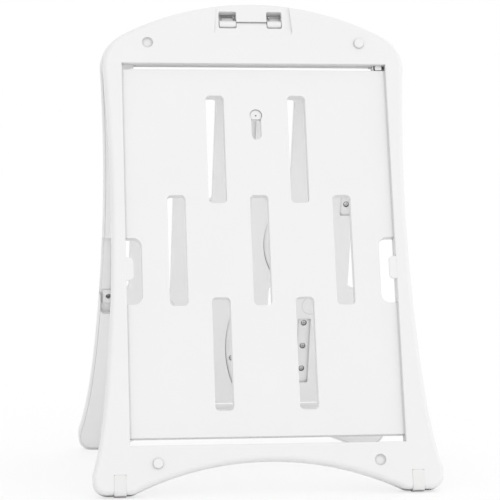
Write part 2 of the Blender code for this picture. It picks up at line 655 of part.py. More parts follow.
def back_cover(outline):
    """Flat inner cover with the same openings as the shell, pockets for its screws and two filler holes."""
    cover = plate("cover", offset(outline, SIDE_WALL + GAP), through_loops(), 0.0, COVER_THICK)
    cut(cover, hinge_block(-OVER, COVER_THICK + OVER, GAP))
    cut(cover, top_bevel())
    cut(cover, prisms("notch", [(gap_notch_loop(), -OVER, COVER_THICK + OVER)]))
    blocks = []
    recesses = []

    def recess(loop, grown, floor_w, end_w):
        for side in (list, mirrored):
            blocks.append((side(grown), BLOCK_START_W, end_w))
            recesses.append((side(loop), -OVER, floor_w))

    for span in LONG_RECESS_V:
        grown = box(LONG_RECESS_U[0] - RECESS_RIM, LONG_RECESS_U[1] + RECESS_RIM,
                    span[0] - RECESS_RIM, span[1] + RECESS_RIM)
        recess(rounded_box(*LONG_RECESS_U, *span, RECESS_RADIUS), grown, RECESS_FLOOR_W, BLOCK_END_W)
    grown = box(SHORT_RECESS_U[0] - RECESS_RIM, SHORT_RECESS_U[1] + RECESS_RIM,
                SHORT_RECESS_V[0] - RECESS_RIM, SHORT_RECESS_V[1] + RECESS_RIM)
    recess(rounded_box(*SHORT_RECESS_U, *SHORT_RECESS_V, RECESS_RADIUS), grown, RECESS_FLOOR_W, BLOCK_END_W)
    u, v, half_width, half_height = LENS_SIDE
    lens_end = LENS_FLOOR_W + LENS_SKIN
    recess(lens(u, v, half_width, half_height), lens(u, v, half_width + 3.0, half_height + 3.0),
           LENS_FLOOR_W, lens_end)
    u, v, half_width, half_height = LENS_MIDDLE
    blocks.append((lens(u, v, half_width + 3.0, half_height + 3.0), BLOCK_START_W, lens_end))
    recesses.append((lens(u, v, half_width, half_height), -OVER, LENS_FLOOR_W))
    blocks.append((hanger_pocket(RECESS_RIM), BLOCK_START_W, HANGER_POCKET_W + RECESS_RIM))
    recesses.append((hanger_pocket(), -OVER, HANGER_POCKET_W))
    plug_u, plug_v = PLUG_UV
    for u in (plug_u, -plug_u):
        blocks.append((circle(u, plug_v, PLUG_BOSS_RADIUS, 12), BLOCK_START_W, PLUG_BOSS_W))
        recesses.append((circle(u, plug_v, PLUG_RADIUS + GAP, 16), -OVER, PLUG_HEAD + GAP))
    join(cover, prisms("blocks", blocks))
    inside = prisms("inside", [(offset(outline, SIDE_WALL + GAP), 0.0, LEAF_THICK)])
    grown = grip_loop(GRIP_WALL)
    grips = [(side, BLOCK_START_W, GRIP_FLOOR_W + RECESS_RIM) for side in (grown, mirrored(grown))]
    join(cover, common(prisms("grips", grips), inside))
    recesses += [(side, -OVER, GRIP_FLOOR_W) for side in (grip_loop(), mirrored(grip_loop()))]
    bosses = [(circle(u, v, SCREW_BOSS_RADIUS, 8), BLOCK_START_W, BLOCK_END_W)
              for u, v in (LONE_SCREW, (-LONE_SCREW[0], LONE_SCREW[1]), LENS_SCREW)]
    join(cover, prisms("bosses", bosses))
    cut(cover, prisms("recesses", recesses))
    pad = box(GRIP_U[0] - GRIP_WALL / 2, GRIP_PAD_U, *GRIP_PAD_V)
    join(cover, prisms("raised", [(side, GRIP_PAD_W, GRIP_FLOOR_W + RECESS_RIM / 2)
                                  for side in (pad, mirrored(pad))]))
    sunk = [(u, v, GRIP_COUNTERBORE_RADIUS, GRIP_SCREW_SEAT_W, GRIP_BOSS_END_W) for u, v in rail_screws()]
    join(cover, prisms("rail_bosses", [(circle(u, v, GRIP_BOSS_RADIUS, 8), GRIP_FLOOR_W, GRIP_BOSS_END_W)
                                       for u, v in rail_screws()]))
    sunk += [(u, v, COUNTERBORE_RADIUS, COUNTERBORE_FLOOR_W, BLOCK_END_W) for u, v in panel_screws()]
    cut(cover, prisms("sunk", [(circle(u, v, radius, 8), -OVER, seat) for u, v, radius, seat, _ in sunk]))
    holes = [(circle(u, v, SCREW_RADIUS + GAP, 6), seat - OVER / 2, end + OVER)
             for u, v, _, seat, end in sunk]
    holes += [(circle(u, plug_v, PLUG_NECK_RADIUS + GAP, 16), -OVER, PLUG_BOSS_W + OVER)
              for u in (plug_u, -plug_u)]
    holes.append((hanger_slot_loop(), HANGER_POCKET_W - OVER, HANGER_POCKET_W + RECESS_RIM + OVER))
    cut(cover, prisms("holes", holes))
    return cover


def turned(name, u, v, stages, steps):
    """A closed solid of round rings along w; each stage is (radius, w)."""
    bm = bmesh.new()
    loft_into(bm, [[place(a, b, w) for a, b in circle(u, v, radius, steps)] for radius, w in stages])
    return add_object(name, bm)


def cover_screws():
    """The screws of one cover, numbered; each has a domed head and a plain shank."""
    seats = [(point, COUNTERBORE_FLOOR_W, SCREW_END_W) for point in panel_screws()]
    seats += [(point, GRIP_SCREW_SEAT_W, RAIL_SCREW_END_W) for point in rail_screws()]
    screws = {}
    for number, ((u, v), seat, end) in enumerate(seats, 1):
        under = seat - GAP
        top = under - SCREW_HEAD
        stages = [(SCREW_HEAD_RADIUS - 1.0, top), (SCREW_HEAD_RADIUS, top + 1.0),
                  (SCREW_HEAD_RADIUS, under), (SCREW_RADIUS, under), (SCREW_RADIUS, end)]
        screws[f"cover_screw_{number:02d}"] = turned("screw", u, v, stages, 6)
    return screws


def fill_plug(side):
    u, v = PLUG_UV
    stages = [(PLUG_RADIUS, 0.0), (PLUG_RADIUS, PLUG_HEAD), (PLUG_NECK_RADIUS, PLUG_HEAD),
              (PLUG_NECK_RADIUS, PLUG_NECK_W - 1.0), (PLUG_NECK_RADIUS - 1.0, PLUG_NECK_W)]
    return turned("plug", side * u, v, stages, 16)


def stud(u, v):
    base = LEAF_THICK + GAP
    stages = [(STUD_SHANK_RADIUS, LEAF_THICK - STUD_SHANK), (STUD_SHANK_RADIUS, base), (STUD_RADIUS, base),
              (STUD_RADIUS, base + STUD_HEIGHT - 2.0), (STUD_RADIUS - 2.0, base + STUD_HEIGHT)]
    return turned("stud", u, v, stages, 12)


def pad_profile(grow):
    """The pad's section as (v, w): a leg on the outer face, a bend and a sole cut flat for the floor."""
    seat_v = PAD_SEAT_V - grow
    seat_w = PAD_SEAT_W - grow
    bend = arc(PAD_SEAT_V - PAD_SEAT_RADIUS, PAD_SEAT_W - PAD_SEAT_RADIUS, PAD_SEAT_RADIUS - grow,
               0.0, 90.0, 3)
    if grow:
        return ([(PAD_TOP_V - grow, PAD_FACE_W + OVER), (PAD_BOTTOM_V + OVER, PAD_FACE_W + OVER),
                 (PAD_BOTTOM_V + OVER, -OVER), (seat_v, -OVER)] + bend + [(PAD_TOP_V - grow, seat_w)])
    flat_v = PAD_BOTTOM_V - (PAD_FLAT_W - PAD_BACK_W) * math.tan(LEAN)
    turns = [math.radians(a) for a in (0.0, 30.0, 60.0, 90.0)]
    outer = [(PAD_BOTTOM_V - 14.0 + 14.0 * math.sin(a), PAD_FACE_W - 11.0 + 11.0 * math.cos(a))
             for a in turns]
    return ([(PAD_TOP_V, PAD_FACE_W)] + outer + [(PAD_BOTTOM_V, PAD_FLAT_W), (flat_v, PAD_BACK_W),
            (seat_v, PAD_BACK_W)] + bend + [(PAD_TOP_V, seat_w)])


def pad_solids(name, grow=0.0, sides=(-1, 1)):
    bm = bmesh.new()
    for side in sides:
        rings = [[place(side * (u + step), v, w) for v, w in pad_profile(grow)]
                 for u, step in zip(PAD_U, (-grow, grow))]
        loft_into(bm, rings)
    return add_object(name, bm)


def hanger_plate():
    """Round plate at the bottom of the hanging hole, cut straight above the slot."""
    radius = HANGER_RADIUS - GAP
    rise = HANGER_SLOT_TOP - GAP - HANGER_V
    start = math.degrees(math.asin(rise / radius))
    outline = arc(0.0, HANGER_V, radius, 180.0 - start, 360.0 + start, 12)
    floor = HANGER_RECESS_W + GAP
    return plate("hanger", outline, [circle(0.0, HANGER_V, HANGER_HOLE_RADIUS, 8)], floor,
                 floor + HANGER_PLATE_THICK)


def sheet_latch():
    """A flat T: its stem shows in the pocket and its head stays behind the window's edge."""
    u0, u1 = LATCH_STEM_U
    h0, h1 = LATCH_HEAD_U
    head_v, head_end = LATCH_HEAD_V
    stem_end = LATCH_STEM_V[1]
    outline = [(h0, head_v), (h1, head_v), (h1, head_end), (u1, head_end), (u1, stem_end), (u0, stem_end),
               (u0, head_end), (h0, head_end)]
    return prisms("latch", [(outline, *LATCH_W)])


# ---------------------------------------------------------------- assembly

def material(name, colour, roughness, metallic=0.0):
    made = bpy.data.materials.new(name)
    made.use_nodes = True
    shader = made.node_tree.nodes["Principled BSDF"]
    shader.inputs["Base Color"].default_value = (*colour, 1.0)
    shader.inputs["Roughness"].default_value = roughness
    shader.inputs["Metallic"].default_value = metallic
    made.diffuse_color = (*colour, 1.0)
    return made


def empty(name, location, rotation):
    made = bpy.data.objects.new(name, None)
    made.location = location
    made.rotation_euler = rotation
    bpy.context.scene.collection.objects.link(made)
    return made


def finish(obj, name, parent, look, smooth_angle=40.0):
    obj.name = name
    obj.data.name = name
    obj.parent = parent
    bm = bmesh.new()
    bm.from_mesh(obj.data)
    bmesh.ops.dissolve_degenerate(bm, dist=0.00001, edges=bm.edges)
    bmesh.ops.recalc_face_normals(bm, faces=bm.faces)
    limit = math.radians(smooth_angle)
    for face in bm.faces:
        face.smooth = True
    for edge in bm.edges:
        edge.smooth = edge.is_manifold and edge.calc_face_angle(0.0) < limit
    bm.to_mesh(obj.data)
    bm.free()
    obj.data.materials.clear()
    obj.data.materials.append(look)
    return obj


def make_leaf():
    """All pieces of one leaf under the names used for both leaves."""
    outline = leaf_outline()
    top, bottom = stud_places()
    return {
        "leaf_shell": leaf_shell(outline),
        "back_cover": back_cover(outline),
        "fill_plug_left": fill_plug(-1),
        "fill_plug_right": fill_plug(1),
        "foot_pad_left": pad_solids("pad", sides=(-1,)),
        "foot_pad_right": pad_solids("pad", sides=(1,)),
        "stud_top": stud(*top),
        "stud_bottom": stud(*bottom),
        "hanger_plate": hanger_plate(),
        "sheet_latch": sheet_latch(),
        **cover_screws(),
    }


for old in list(bpy.data.objects):
    bpy.data.objects.remove(old)

WHITE = (0.86, 0.86, 0.85)
PLASTIC = material("white_polyethylene", WHITE, 0.45)
STEEL = material("zinc_plated_steel", (0.62, 0.62, 0.60), 0.35, 1.0)
RUBBER = material("light_rubber", (0.78, 0.78, 0.77), 0.75)
NYLON = material("white_nylon", (0.90, 0.89, 0.86), 0.4)
LOOKS = {"foot_pad_left": RUBBER, "foot_pad_right": RUBBER,
         "stud_top": NYLON, "stud_bottom": NYLON, "sheet_latch": NYLON}

front = empty("front_axis", (0.0, 0.0, HINGE_Z), (-LEAN, 0.0, 0.0))
rear = empty("rear_axis", (0.0, 0.0, HINGE_Z), (-LEAN, 0.0, math.pi))

for piece, made in make_leaf().items():
    look = STEEL if piece.startswith("cover_screw") else LOOKS.get(piece, PLASTIC)
    finish(made, "front_" + piece, front, look)
    twin = bpy.data.objects.new("rear_" + piece, made.data.copy())
    twin.data.name = twin.name
    twin.parent = rear
    bpy.context.scene.collection.objects.link(twin)

for side, label in ((-1, "left"), (1, "right")):
    for piece, span, radius, bore, look in (("hinge_pin_", PIN_SPAN, PIN_RADIUS, 0.0, STEEL),
                                            ("hinge_bush_", BUSH_SPAN, BUSH_RADIUS, PIN_BORE_RADIUS, NYLON)):
        bm = bmesh.new()
        tubes_into(bm, *sorted(side * x for x in span), radius, bore)
        finish(add_object(piece, bm), piece + label, front, look)

bpy.context.view_layer.update()
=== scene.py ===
"""Looks of the folding A-frame board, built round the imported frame.

Each leaf is built once in leaf coordinates, in millimetres: u across from the centre line, v down from the
top of the arch, w outward from the inner face. The rear leaf is the same leaf turned half a turn.
"""

import json
import math

import bmesh
import bpy
from mathutils import Matrix, Vector
from mathutils.geometry import tessellate_polygon


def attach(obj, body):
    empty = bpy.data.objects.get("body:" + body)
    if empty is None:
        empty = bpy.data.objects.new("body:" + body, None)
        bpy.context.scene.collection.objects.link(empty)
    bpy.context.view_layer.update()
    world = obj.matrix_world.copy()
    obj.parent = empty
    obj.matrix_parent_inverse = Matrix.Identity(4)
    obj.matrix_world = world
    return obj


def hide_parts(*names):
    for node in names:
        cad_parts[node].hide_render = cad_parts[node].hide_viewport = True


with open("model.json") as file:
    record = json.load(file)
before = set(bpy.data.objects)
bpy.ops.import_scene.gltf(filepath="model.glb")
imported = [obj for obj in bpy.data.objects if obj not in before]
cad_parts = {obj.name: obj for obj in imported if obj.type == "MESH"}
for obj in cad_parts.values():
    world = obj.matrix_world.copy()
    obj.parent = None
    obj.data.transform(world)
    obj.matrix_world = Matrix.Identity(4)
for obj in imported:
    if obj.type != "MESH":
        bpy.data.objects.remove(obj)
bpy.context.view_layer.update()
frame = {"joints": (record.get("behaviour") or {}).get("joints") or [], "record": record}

MM = 0.001
GAP = 0.3
OVER = 2.0
HALF_PI = math.pi / 2

# Leaf outline
LEAF_THICK = 35.0
TOP_RADIUS = 635.0
SHOULDER_RADIUS = 88.0
SHOULDER_HALF_WIDTH = 347.8
WAIST_HALF_WIDTH = 335.0
WAIST_V = 469.0
SHOULDER_SPAN = 321.0
SHOULDER_SWELL = 12.8
FLARE_SPAN = 600.0
FLARE = 36.0
FLARE_TIP = 11.0
SHOULDER_POWER = 1.8
FLARE_POWERS = (2, 8)
FOOT_V = 1130.5
FOOT_RADIUS = 31.0
FOOT_TIP_V = 1085.0
ARCH_RADIUS = 684.0
ARCH_TOP_V = 1061.0
ARCH_FILLET = 36.0
FRONT_ROUNDING = 11.0
BACK_ROUNDING = 2.5

# Window, sheet panel and its openings
WINDOW_HALF = 305.0
WINDOW_TOP = 146.7
WINDOW_BOTTOM = 1025.3
WINDOW_RIM = 2.2
WINDOW_COVE = 1.2
PANEL_FACE_W = 24.0
PANEL_TOP = 159.0
PANEL_BOTTOM = 1008.0
GAP_RIM = 1.2
SLOT_WIDTH = 41.3
SLOT_HEIGHT = 255.0
SLOT_RADIUS = 10.0
SLOT_PITCH_U = 188.3
SLOT_PITCH_V = 236.6
SLOT_CENTRE_V = 585.4
SLOT_RIM = 1.2
BACK_RIM = 1.4
COVER_RIM = 0.8
HANDHOLD_INNER_U = 269.0
HANDHOLD_V = (557.0, 709.0)
HANDHOLD_RADIUS = 20.0
TAB_INNER_U = 288.5
TAB_V = (603.5, 655.5)
TAB_W = (28.0, 34.0)
TAB_RADIUS = 9.0
TAB_EDGE = 1.8
HANGER_V = 268.0
HANGER_RADIUS = 14.0
HANGER_SLOT_HALF = 11.0
HANGER_SLOT_TOP = 277.0
HANGER_SLOT_BOTTOM = 326.0
HANGER_RECESS_W = 17.0
HANGER_PLATE_THICK = 3.0
HANGER_HOLE_RADIUS = 1.8

# Sheet latch at the right end of the upper gap
GAP_END_U = 277.0
GAP_NOTCH_TOP = 137.7
GAP_NOTCH_W = 16.0
GAP_NOTCH_END_U = 270.0
GAP_STEP_U = 274.0
LATCH_POCKET_W = 8.0
LATCH_STEM_U = (282.3, 298.3)
LATCH_HEAD_U = (279.0, 301.6)
LATCH_W = (14.3, 23.5)
LATCH_STEM_V = (140.0, 157.5)
LATCH_HEAD_V = (134.0, 142.4)
LATCH_TIP_RADIUS = 2.0

# Shell walls and the inner cover
SIDE_WALL = 5.0
WINDOW_WALL = 4.0
COLLAR = 3.0
RING_CEILING_W = 29.0
PANEL_CEILING_W = 19.0
COVER_THICK = 3.0

# Stacking studs and sockets on the outer face
STUD_U = 245.0
STUD_TOP_V = 97.0
STUD_BOTTOM_V = 1065.0
STUD_RADIUS = 11.0
STUD_HEIGHT = 6.0
STUD_SHANK_RADIUS = 5.0
STUD_SHANK = 9.0
SOCKET_RADIUS = 12.5
SOCKET_DEPTH = 6.4
SOCKET_BOSS_RADIUS = 17.0

# Recesses in the inner cover
RECESS_FLOOR_W = 7.0
BLOCK_START_W = 1.0
BLOCK_END_W = 18.0
RECESS_RIM = 2.0
RECESS_RADIUS = 5.0
RECESS_EDGE = (0.8, 0.4)
LONG_RECESS_U = (150.0, 182.0)
LONG_RECESS_V = ((211.0, 384.0), (782.0, 955.0))
LONG_SCREW_STEP = 61.5
LONG_SCREW_FIRST = 14.0
SHORT_RECESS_U = (238.5, 270.5)
SHORT_RECESS_V = (462.0, 513.0)
SHORT_SCREW_V = 485.5
GRIP_U = (311.0, 338.0)
GRIP_WALL = 1.6
GRIP_OPEN_V = 702.0
GRIP_OUT_U = 352.0
GRIP_V = (568.0, 764.5)
GRIP_RADIUS = 11.0
GRIP_FLOOR_W = 17.0
GRIP_EDGE = (1.5, 2.0)
GRIP_SCREW = (317.6, 724.0)
GRIP_PAD_U = 332.5
GRIP_PAD_V = (707.0, 741.0)
GRIP_PAD_W = 14.0
GRIP_BOSS_RADIUS = 8.0
GRIP_BOSS_END_W = 28.0
GRIP_SCREW_SEAT_W = 26.5
GRIP_COUNTERBORE_RADIUS = 6.5
HANGER_POCKET = (24.5, 240.0, 342.0)
HANGER_POCKET_W = 8.0
LENS_SIDE = (89.0, 580.3, 34.2, 96.7)
LENS_MIDDLE = (0.0, 848.0, 28.8, 123.9)
LENS_FLOOR_W = 7.0
LENS_SKIN = 5.0
LENS_TRENCH = (1.6, 3.0)
LENS_TRENCH_W = 10.0
LENS_WALL = 3.0
LENS_EDGE = (0.5, 0.3)
LENS_SCREW = (10.0, 888.0)
LONE_SCREW = (166.0, 425.0)
SCREW_BOSS_RADIUS = 10.5
COUNTERBORE_RADIUS = 7.5
COUNTERBORE_FLOOR_W = 12.3
SCREW_HEAD_RADIUS = 6.0
SCREW_HEAD = 3.0
SCREW_DOME = 1.8
SCREW_CROSS = (3.4, 0.75, 1.9)
SCREW_RADIUS = 2.0
SCREW_END_W = 22.5
RAIL_SCREW_END_W = 32.0
PLUG_UV = (180.0, 748.0)
PLUG_RADIUS = 22.0
PLUG_NECK_RADIUS = 17.0
PLUG_NECK_W = 9.0
PLUG_HEAD = 1.8
PLUG_BOSS_RADIUS = 25.0
PLUG_BOSS_W = 6.0

# Foot pads
PAD_U = (315.0, 341.0)
PAD_TOP_V = 1088.0
PAD_BOTTOM_V = 1134.0
PAD_FACE_W = 36.0
PAD_SEAT_W = 33.0
PAD_SEAT_V = 1126.5
PAD_BACK_W = 0.5
PAD_FLAT_W = 12.0
PAD_SEAT_RADIUS = 12.0
PAD_BOSS = (307.0, 349.0, 1112.0)
PAD_CORNER = 4.0
PAD_EDGE = 0.8
PAD_FIT = 0.06
PAD_BEND = (14.0, 11.0)
PAD_TOP_BEND = 1.5

# Hinge
LEAN = math.radians(17.44)
HINGE_V = 38.0
HALF_GAP = 6.0
HINGE_BLOCK = (96.0, 84.0)
HINGE_WINDOW_V = (19.0, 59.5)
HINGE_WINDOW_LEFT = (-78.8, -37.8)
HINGE_WINDOW_RIGHT = (32.6, 67.6)
HINGE_WINDOW_RADIUS = 4.0
HINGE_POCKET = (33.0, 79.0)
HINGE_POCKET_W = 14.0
KNUCKLE_SPANS = ((34.0, 41.5), (42.0, 70.0), (70.5, 78.0))
OUTER_KNUCKLE_RADIUS = 14.5
MIDDLE_KNUCKLE_RADIUS = 16.5
WEB_W = 3.0
PIN_RADIUS = 4.0
PIN_SPAN = (34.5, 77.5)
BUSH_SPAN = (42.3, 69.7)
PIN_BORE_RADIUS = 4.3
BUSH_RADIUS = 6.0
BUSH_BORE_RADIUS = 6.3
LIP_TOP_V = 38.0
LIP_W = (13.2, 18.5, 29.0)
LIP_GAP = (1.6, 1.0)
BROW_BOTTOM_V = 80.0
BROW_RAMP_V = 60.0
BROW_HALF_WIDTH = (84.0, 92.0)
BROW_CORNER = 14.0
BROW_DEPTH = 5.0
BAR_BOTTOM_V = 43.5
GROOVE_BOTTOM_V = 60.0
GROOVE_DEPTH = 5.0


# ---------------------------------------------------------------- outlines, as lists of (u, v)

def arc(u, v, radius, start, end, steps):
    """Points on an arc; angles in degrees, 0 towards +u and 90 towards +v (down the leaf)."""
    angles = [math.radians(start + (end - start) * i / steps) for i in range(steps + 1)]
    return [(u + radius * math.cos(a), v + radius * math.sin(a)) for a in angles]


def circle(u, v, radius, steps=40):
    return arc(u, v, radius, 0.0, 360.0, steps)[:-1]


def box(u0, u1, v0, v1):
    return [(u0, v0), (u1, v0), (u1, v1), (u0, v1)]


def rounded_box(u0, u1, v0, v1, radius, steps=8):
    loop = (arc(u0 + radius, v0 + radius, radius, 180.0, 270.0, steps)
            + arc(u1 - radius, v0 + radius, radius, 270.0, 360.0, steps)
            + arc(u1 - radius, v1 - radius, radius, 0.0, 90.0, steps)
            + arc(u0 + radius, v1 - radius, radius, 90.0, 180.0, steps))
    return [point for i, point in enumerate(loop) if math.dist(point, loop[i - 1]) > 0.001]


def lens(u, v, half_width, half_height, steps=20):
    """Two equal arcs that meet in points above and below."""
    radius = (half_width ** 2 + half_height ** 2) / (2.0 * half_width)
    reach = math.degrees(math.asin(half_height / radius))
    right = arc(u + half_width - radius, v, radius, -reach, reach, steps)
    left = arc(u - half_width + radius, v, radius, 180.0 - reach, 180.0 + reach, steps)
    return right[:-1] + left[:-1]


def mirrored(loop):
    return [(-u, v) for u, v in reversed(loop)]


def offset(loop, distance):
    """The loop moved inward by a distance; the loop runs clockwise as seen with v downward."""
    if not distance:
        return list(loop)
    moved = []
    count = len(loop)
    for i, (u, v) in enumerate(loop):
        before = Vector(loop[i - 1])
        after = Vector(loop[(i + 1) % count])
        here = Vector((u, v))
        first = (here - before).normalized()
        second = (after - here).normalized()
        normal = Vector((-first.y, first.x)) + Vector((-second.y, second.x))
        normal.normalize()
        spread = normal.dot(Vector((-first.y, first.x)))
        moved.append(tuple(here + normal * (distance / spread)))
    return moved


def side_half_width(v):
    """Half the leaf's width: swelling to the shoulder above the waist, flaring to the foot below it."""
    if v < WAIST_V:
        return WAIST_HALF_WIDTH + SHOULDER_SWELL * ((WAIST_V - v) / SHOULDER_SPAN) ** SHOULDER_POWER
    reach = (v - WAIST_V) / FLARE_SPAN
    slow, steep = FLARE_POWERS
    return WAIST_HALF_WIDTH + FLARE * reach ** slow + FLARE_TIP * reach ** steep


def corner_arc(before, corner, after, radius, steps):
    """Points that round off one corner of an outline."""
    corner = Vector(corner)
    back = (Vector(before) - corner).normalized()
    ahead = (Vector(after) - corner).normalized()
    half = math.acos(max(-1.0, min(1.0, back.dot(ahead)))) / 2
    middle = (back + ahead).normalized()
    centre = corner + middle * (radius / math.sin(half))
    start = corner + back * (radius / math.tan(half)) - centre
    end = corner + ahead * (radius / math.tan(half)) - centre
    first = math.atan2(start.y, start.x)
    turn = (math.atan2(end.y, end.x) - first + math.pi) % (2 * math.pi) - math.pi
    return arc(centre.x, centre.y, radius, math.degrees(first), math.degrees(first + turn), steps)


def leaf_outline():
    """Arched top, round shoulders, narrow waist, flared feet and an arch between the feet."""
    shoulder_u = SHOULDER_HALF_WIDTH - SHOULDER_RADIUS
    centre_drop = math.sqrt((TOP_RADIUS - SHOULDER_RADIUS) ** 2 - shoulder_u ** 2)
    shoulder_v = TOP_RADIUS - centre_drop
    tangent = math.degrees(math.atan2(centre_drop, shoulder_u))
    top = arc(0.0, TOP_RADIUS, TOP_RADIUS, -90.0, -tangent, 26)
    shoulder = arc(shoulder_u, shoulder_v, SHOULDER_RADIUS, -tangent, 0.0, 16)
    stations = [shoulder_v + (FOOT_TIP_V - shoulder_v) * i / 48 for i in range(1, 49)]
    side = [(side_half_width(v), v) for v in stations]
    foot = arc(side_half_width(FOOT_TIP_V) - FOOT_RADIUS, FOOT_V - FOOT_RADIUS, FOOT_RADIUS, 10.0, 90.0, 12)
    arch_v = ARCH_TOP_V + ARCH_RADIUS
    corner_u = math.sqrt(ARCH_RADIUS ** 2 - (arch_v - FOOT_V) ** 2)
    reach = math.degrees(math.asin(corner_u / ARCH_RADIUS))
    arch = arc(0.0, arch_v, ARCH_RADIUS, -90.0 + reach, -90.0, 40)
    bend = corner_arc((corner_u + 20.0, FOOT_V), (corner_u, FOOT_V), arch[2], ARCH_FILLET, 6)
    arch = [point for point in arch if point[0] < bend[-1][0] - 2.0]
    right = top + shoulder[1:] + side + foot + bend + arch
    return right + [(-u, v) for u, v in reversed(right[1:-1])]


def slot_centres():
    rows = ((-0.5, 0.5), (-1.0, 0.0, 1.0), (-0.5, 0.5))
    return [(column * SLOT_PITCH_U, SLOT_CENTRE_V + (row - 1) * SLOT_PITCH_V)
            for row, columns in enumerate(rows) for column in columns]


def slot_loop(u, v, grow=0.0):
    half_width = SLOT_WIDTH / 2 + grow
    half_height = SLOT_HEIGHT / 2 + grow
    return rounded_box(u - half_width, u + half_width, v - half_height, v + half_height, SLOT_RADIUS + grow)


def handhold_loop(grow=0.0):
    """The right handhold: rounded towards the panel, square against the window's edge."""
    u0 = HANDHOLD_INNER_U - grow
    v0 = HANDHOLD_V[0] - grow
    v1 = HANDHOLD_V[1] + grow
    radius = HANDHOLD_RADIUS + grow
    return ([(WINDOW_HALF, v0), (WINDOW_HALF, v1)]
            + arc(u0 + radius, v1 - radius, radius, 90.0, 180.0, 12)
            + arc(u0 + radius, v0 + radius, radius, 180.0, 270.0, 12))


def hanger_slot_loop():
    half = HANGER_SLOT_HALF
    bottom = arc(0.0, HANGER_SLOT_BOTTOM - half, half, 0.0, 180.0, 20)
    return [(-half, HANGER_SLOT_TOP), (half, HANGER_SLOT_TOP)] + bottom


def hanger_pocket(grow=0.0):
    half, top, bottom = HANGER_POCKET
    return rounded_box(-half - grow, half + grow, top - grow, bottom + grow, half + grow, 12)


def grip_loop(grow=0.0):
    """The right rail's recess: open at the leaf's edge above, closed by a thin rim below."""
    u0, u1 = GRIP_U
    v0, v1 = GRIP_V
    u0 -= grow
    u1 += grow
    v0 -= grow
    v1 += grow
    radius = GRIP_RADIUS + grow
    return ([(u0, v0), (GRIP_OUT_U, v0), (GRIP_OUT_U, GRIP_OPEN_V), (u1, GRIP_OPEN_V + GRIP_OUT_U - u1)]
            + arc(u1 - radius, v1 - radius, radius, 0.0, 90.0, 10) + [(u0, v1)])


def brow_loop():
    """Plan of the shallow recess round the hinge, open at the top."""
    top, bottom = BROW_HALF_WIDTH
    low = (bottom, BROW_BOTTOM_V)
    corner = corner_arc((top, -OVER), low, (0.0, BROW_BOTTOM_V), BROW_CORNER, 8)
    return [(-top, -2 * OVER), (top, -2 * OVER)] + corner + [(-u, v) for u, v in reversed(corner)]


def long_screws():
    middle = sum(LONG_RECESS_U) / 2
    return [(middle, LONG_RECESS_V[1][0] + LONG_SCREW_FIRST + LONG_SCREW_STEP * i) for i in range(3)]


def panel_screws():
    right = long_screws() + [(sum(SHORT_RECESS_U) / 2, SHORT_SCREW_V), LONE_SCREW]
    return right + [(-u, v) for u, v in right] + [LENS_SCREW]


def rail_screws():
    return [GRIP_SCREW, (-GRIP_SCREW[0], GRIP_SCREW[1])]


def socket_places():
    return [(-STUD_U, STUD_TOP_V), (STUD_U, STUD_BOTTOM_V)]


def stud_places():
    return [(STUD_U, STUD_TOP_V), (-STUD_U, STUD_BOTTOM_V)]


# ---------------------------------------------------------------- solids

def place(u, v, w):
    """Leaf coordinates to the leaf's own axes, in metres, with the origin on the hinge axis."""
    return Vector((u * MM, -(w + HALF_GAP) * MM, -(v - HINGE_V) * MM))


def add_object(name, bm):
    bmesh.ops.recalc_face_normals(bm, faces=bm.faces)
    mesh = bpy.data.meshes.new(name)
    bm.to_mesh(mesh)
    bm.free()
    obj = bpy.data.objects.new(name, mesh)
    bpy.context.scene.collection.objects.link(obj)
    return obj


def loft_into(bm, rings):
    """A closed solid through rings of equally many points, each given as 3-D points."""
    rows = [[bm.verts.new(point) for point in ring] for ring in rings]
    for lower, upper in zip(rows, rows[1:]):
        for i in range(len(lower)):
            bm.faces.new((lower[i - 1], lower[i], upper[i], upper[i - 1]))
    bm.faces.new(rows[0])
    bm.faces.new(reversed(rows[-1]))


def within(loop, limits):
    if not limits:
        return loop
    u0, u1, v0, v1 = limits
    return [(min(max(u, u0), u1), min(max(v, v0), v1)) for u, v in loop]


def shaped(name, items):
    """Separate solids in one object; each item is (loop, stages) or (loop, stages, limits), with stages
    as (inset, w)."""
    bm = bmesh.new()
    for loop, stages, *limits in items:
        rings = [within(offset(loop, inset), limits[0] if limits else None) for inset, _ in stages]
        loft_into(bm, [[place(u, v, w) for u, v in ring] for ring, (_, w) in zip(rings, stages)])
    return add_object(name, bm)


def prisms(name, items):
    return shaped(name, [(loop, [(0.0, w0), (0.0, w1)]) for loop, w0, w1 in items])


def pocket(face, floor, rim=0.0, cove=0.0, steps=5):
    """Stages of a cutter from its floor out through the face, with a round floor corner and a round rim."""
    out = 1.0 if face > floor else -1.0
    turns = [HALF_PI * i / steps for i in range(steps + 1)]
    stages = [(cove * (1.0 - math.sin(a)), floor + out * cove * (1.0 - math.cos(a))) for a in turns] \
        if cove else [(0.0, floor)]
    if rim:
        stages += [(rim * (math.cos(a) - 1.0), face - out * rim * (1.0 - math.sin(a))) for a in turns]
    return stages + [(-rim, face + out * OVER)]


def rounded_slab(low, high, low_edge, high_edge, steps=5):
    """Stages of a solid with round edges on both faces."""
    turns = [HALF_PI * i / steps for i in range(steps + 1)]
    below = [(low_edge * (1.0 - math.sin(a)), low + low_edge * (1.0 - math.cos(a))) for a in turns]
    above = [(high_edge * (1.0 - math.cos(a)), high - high_edge * (1.0 - math.sin(a))) for a in turns]
    return below + above


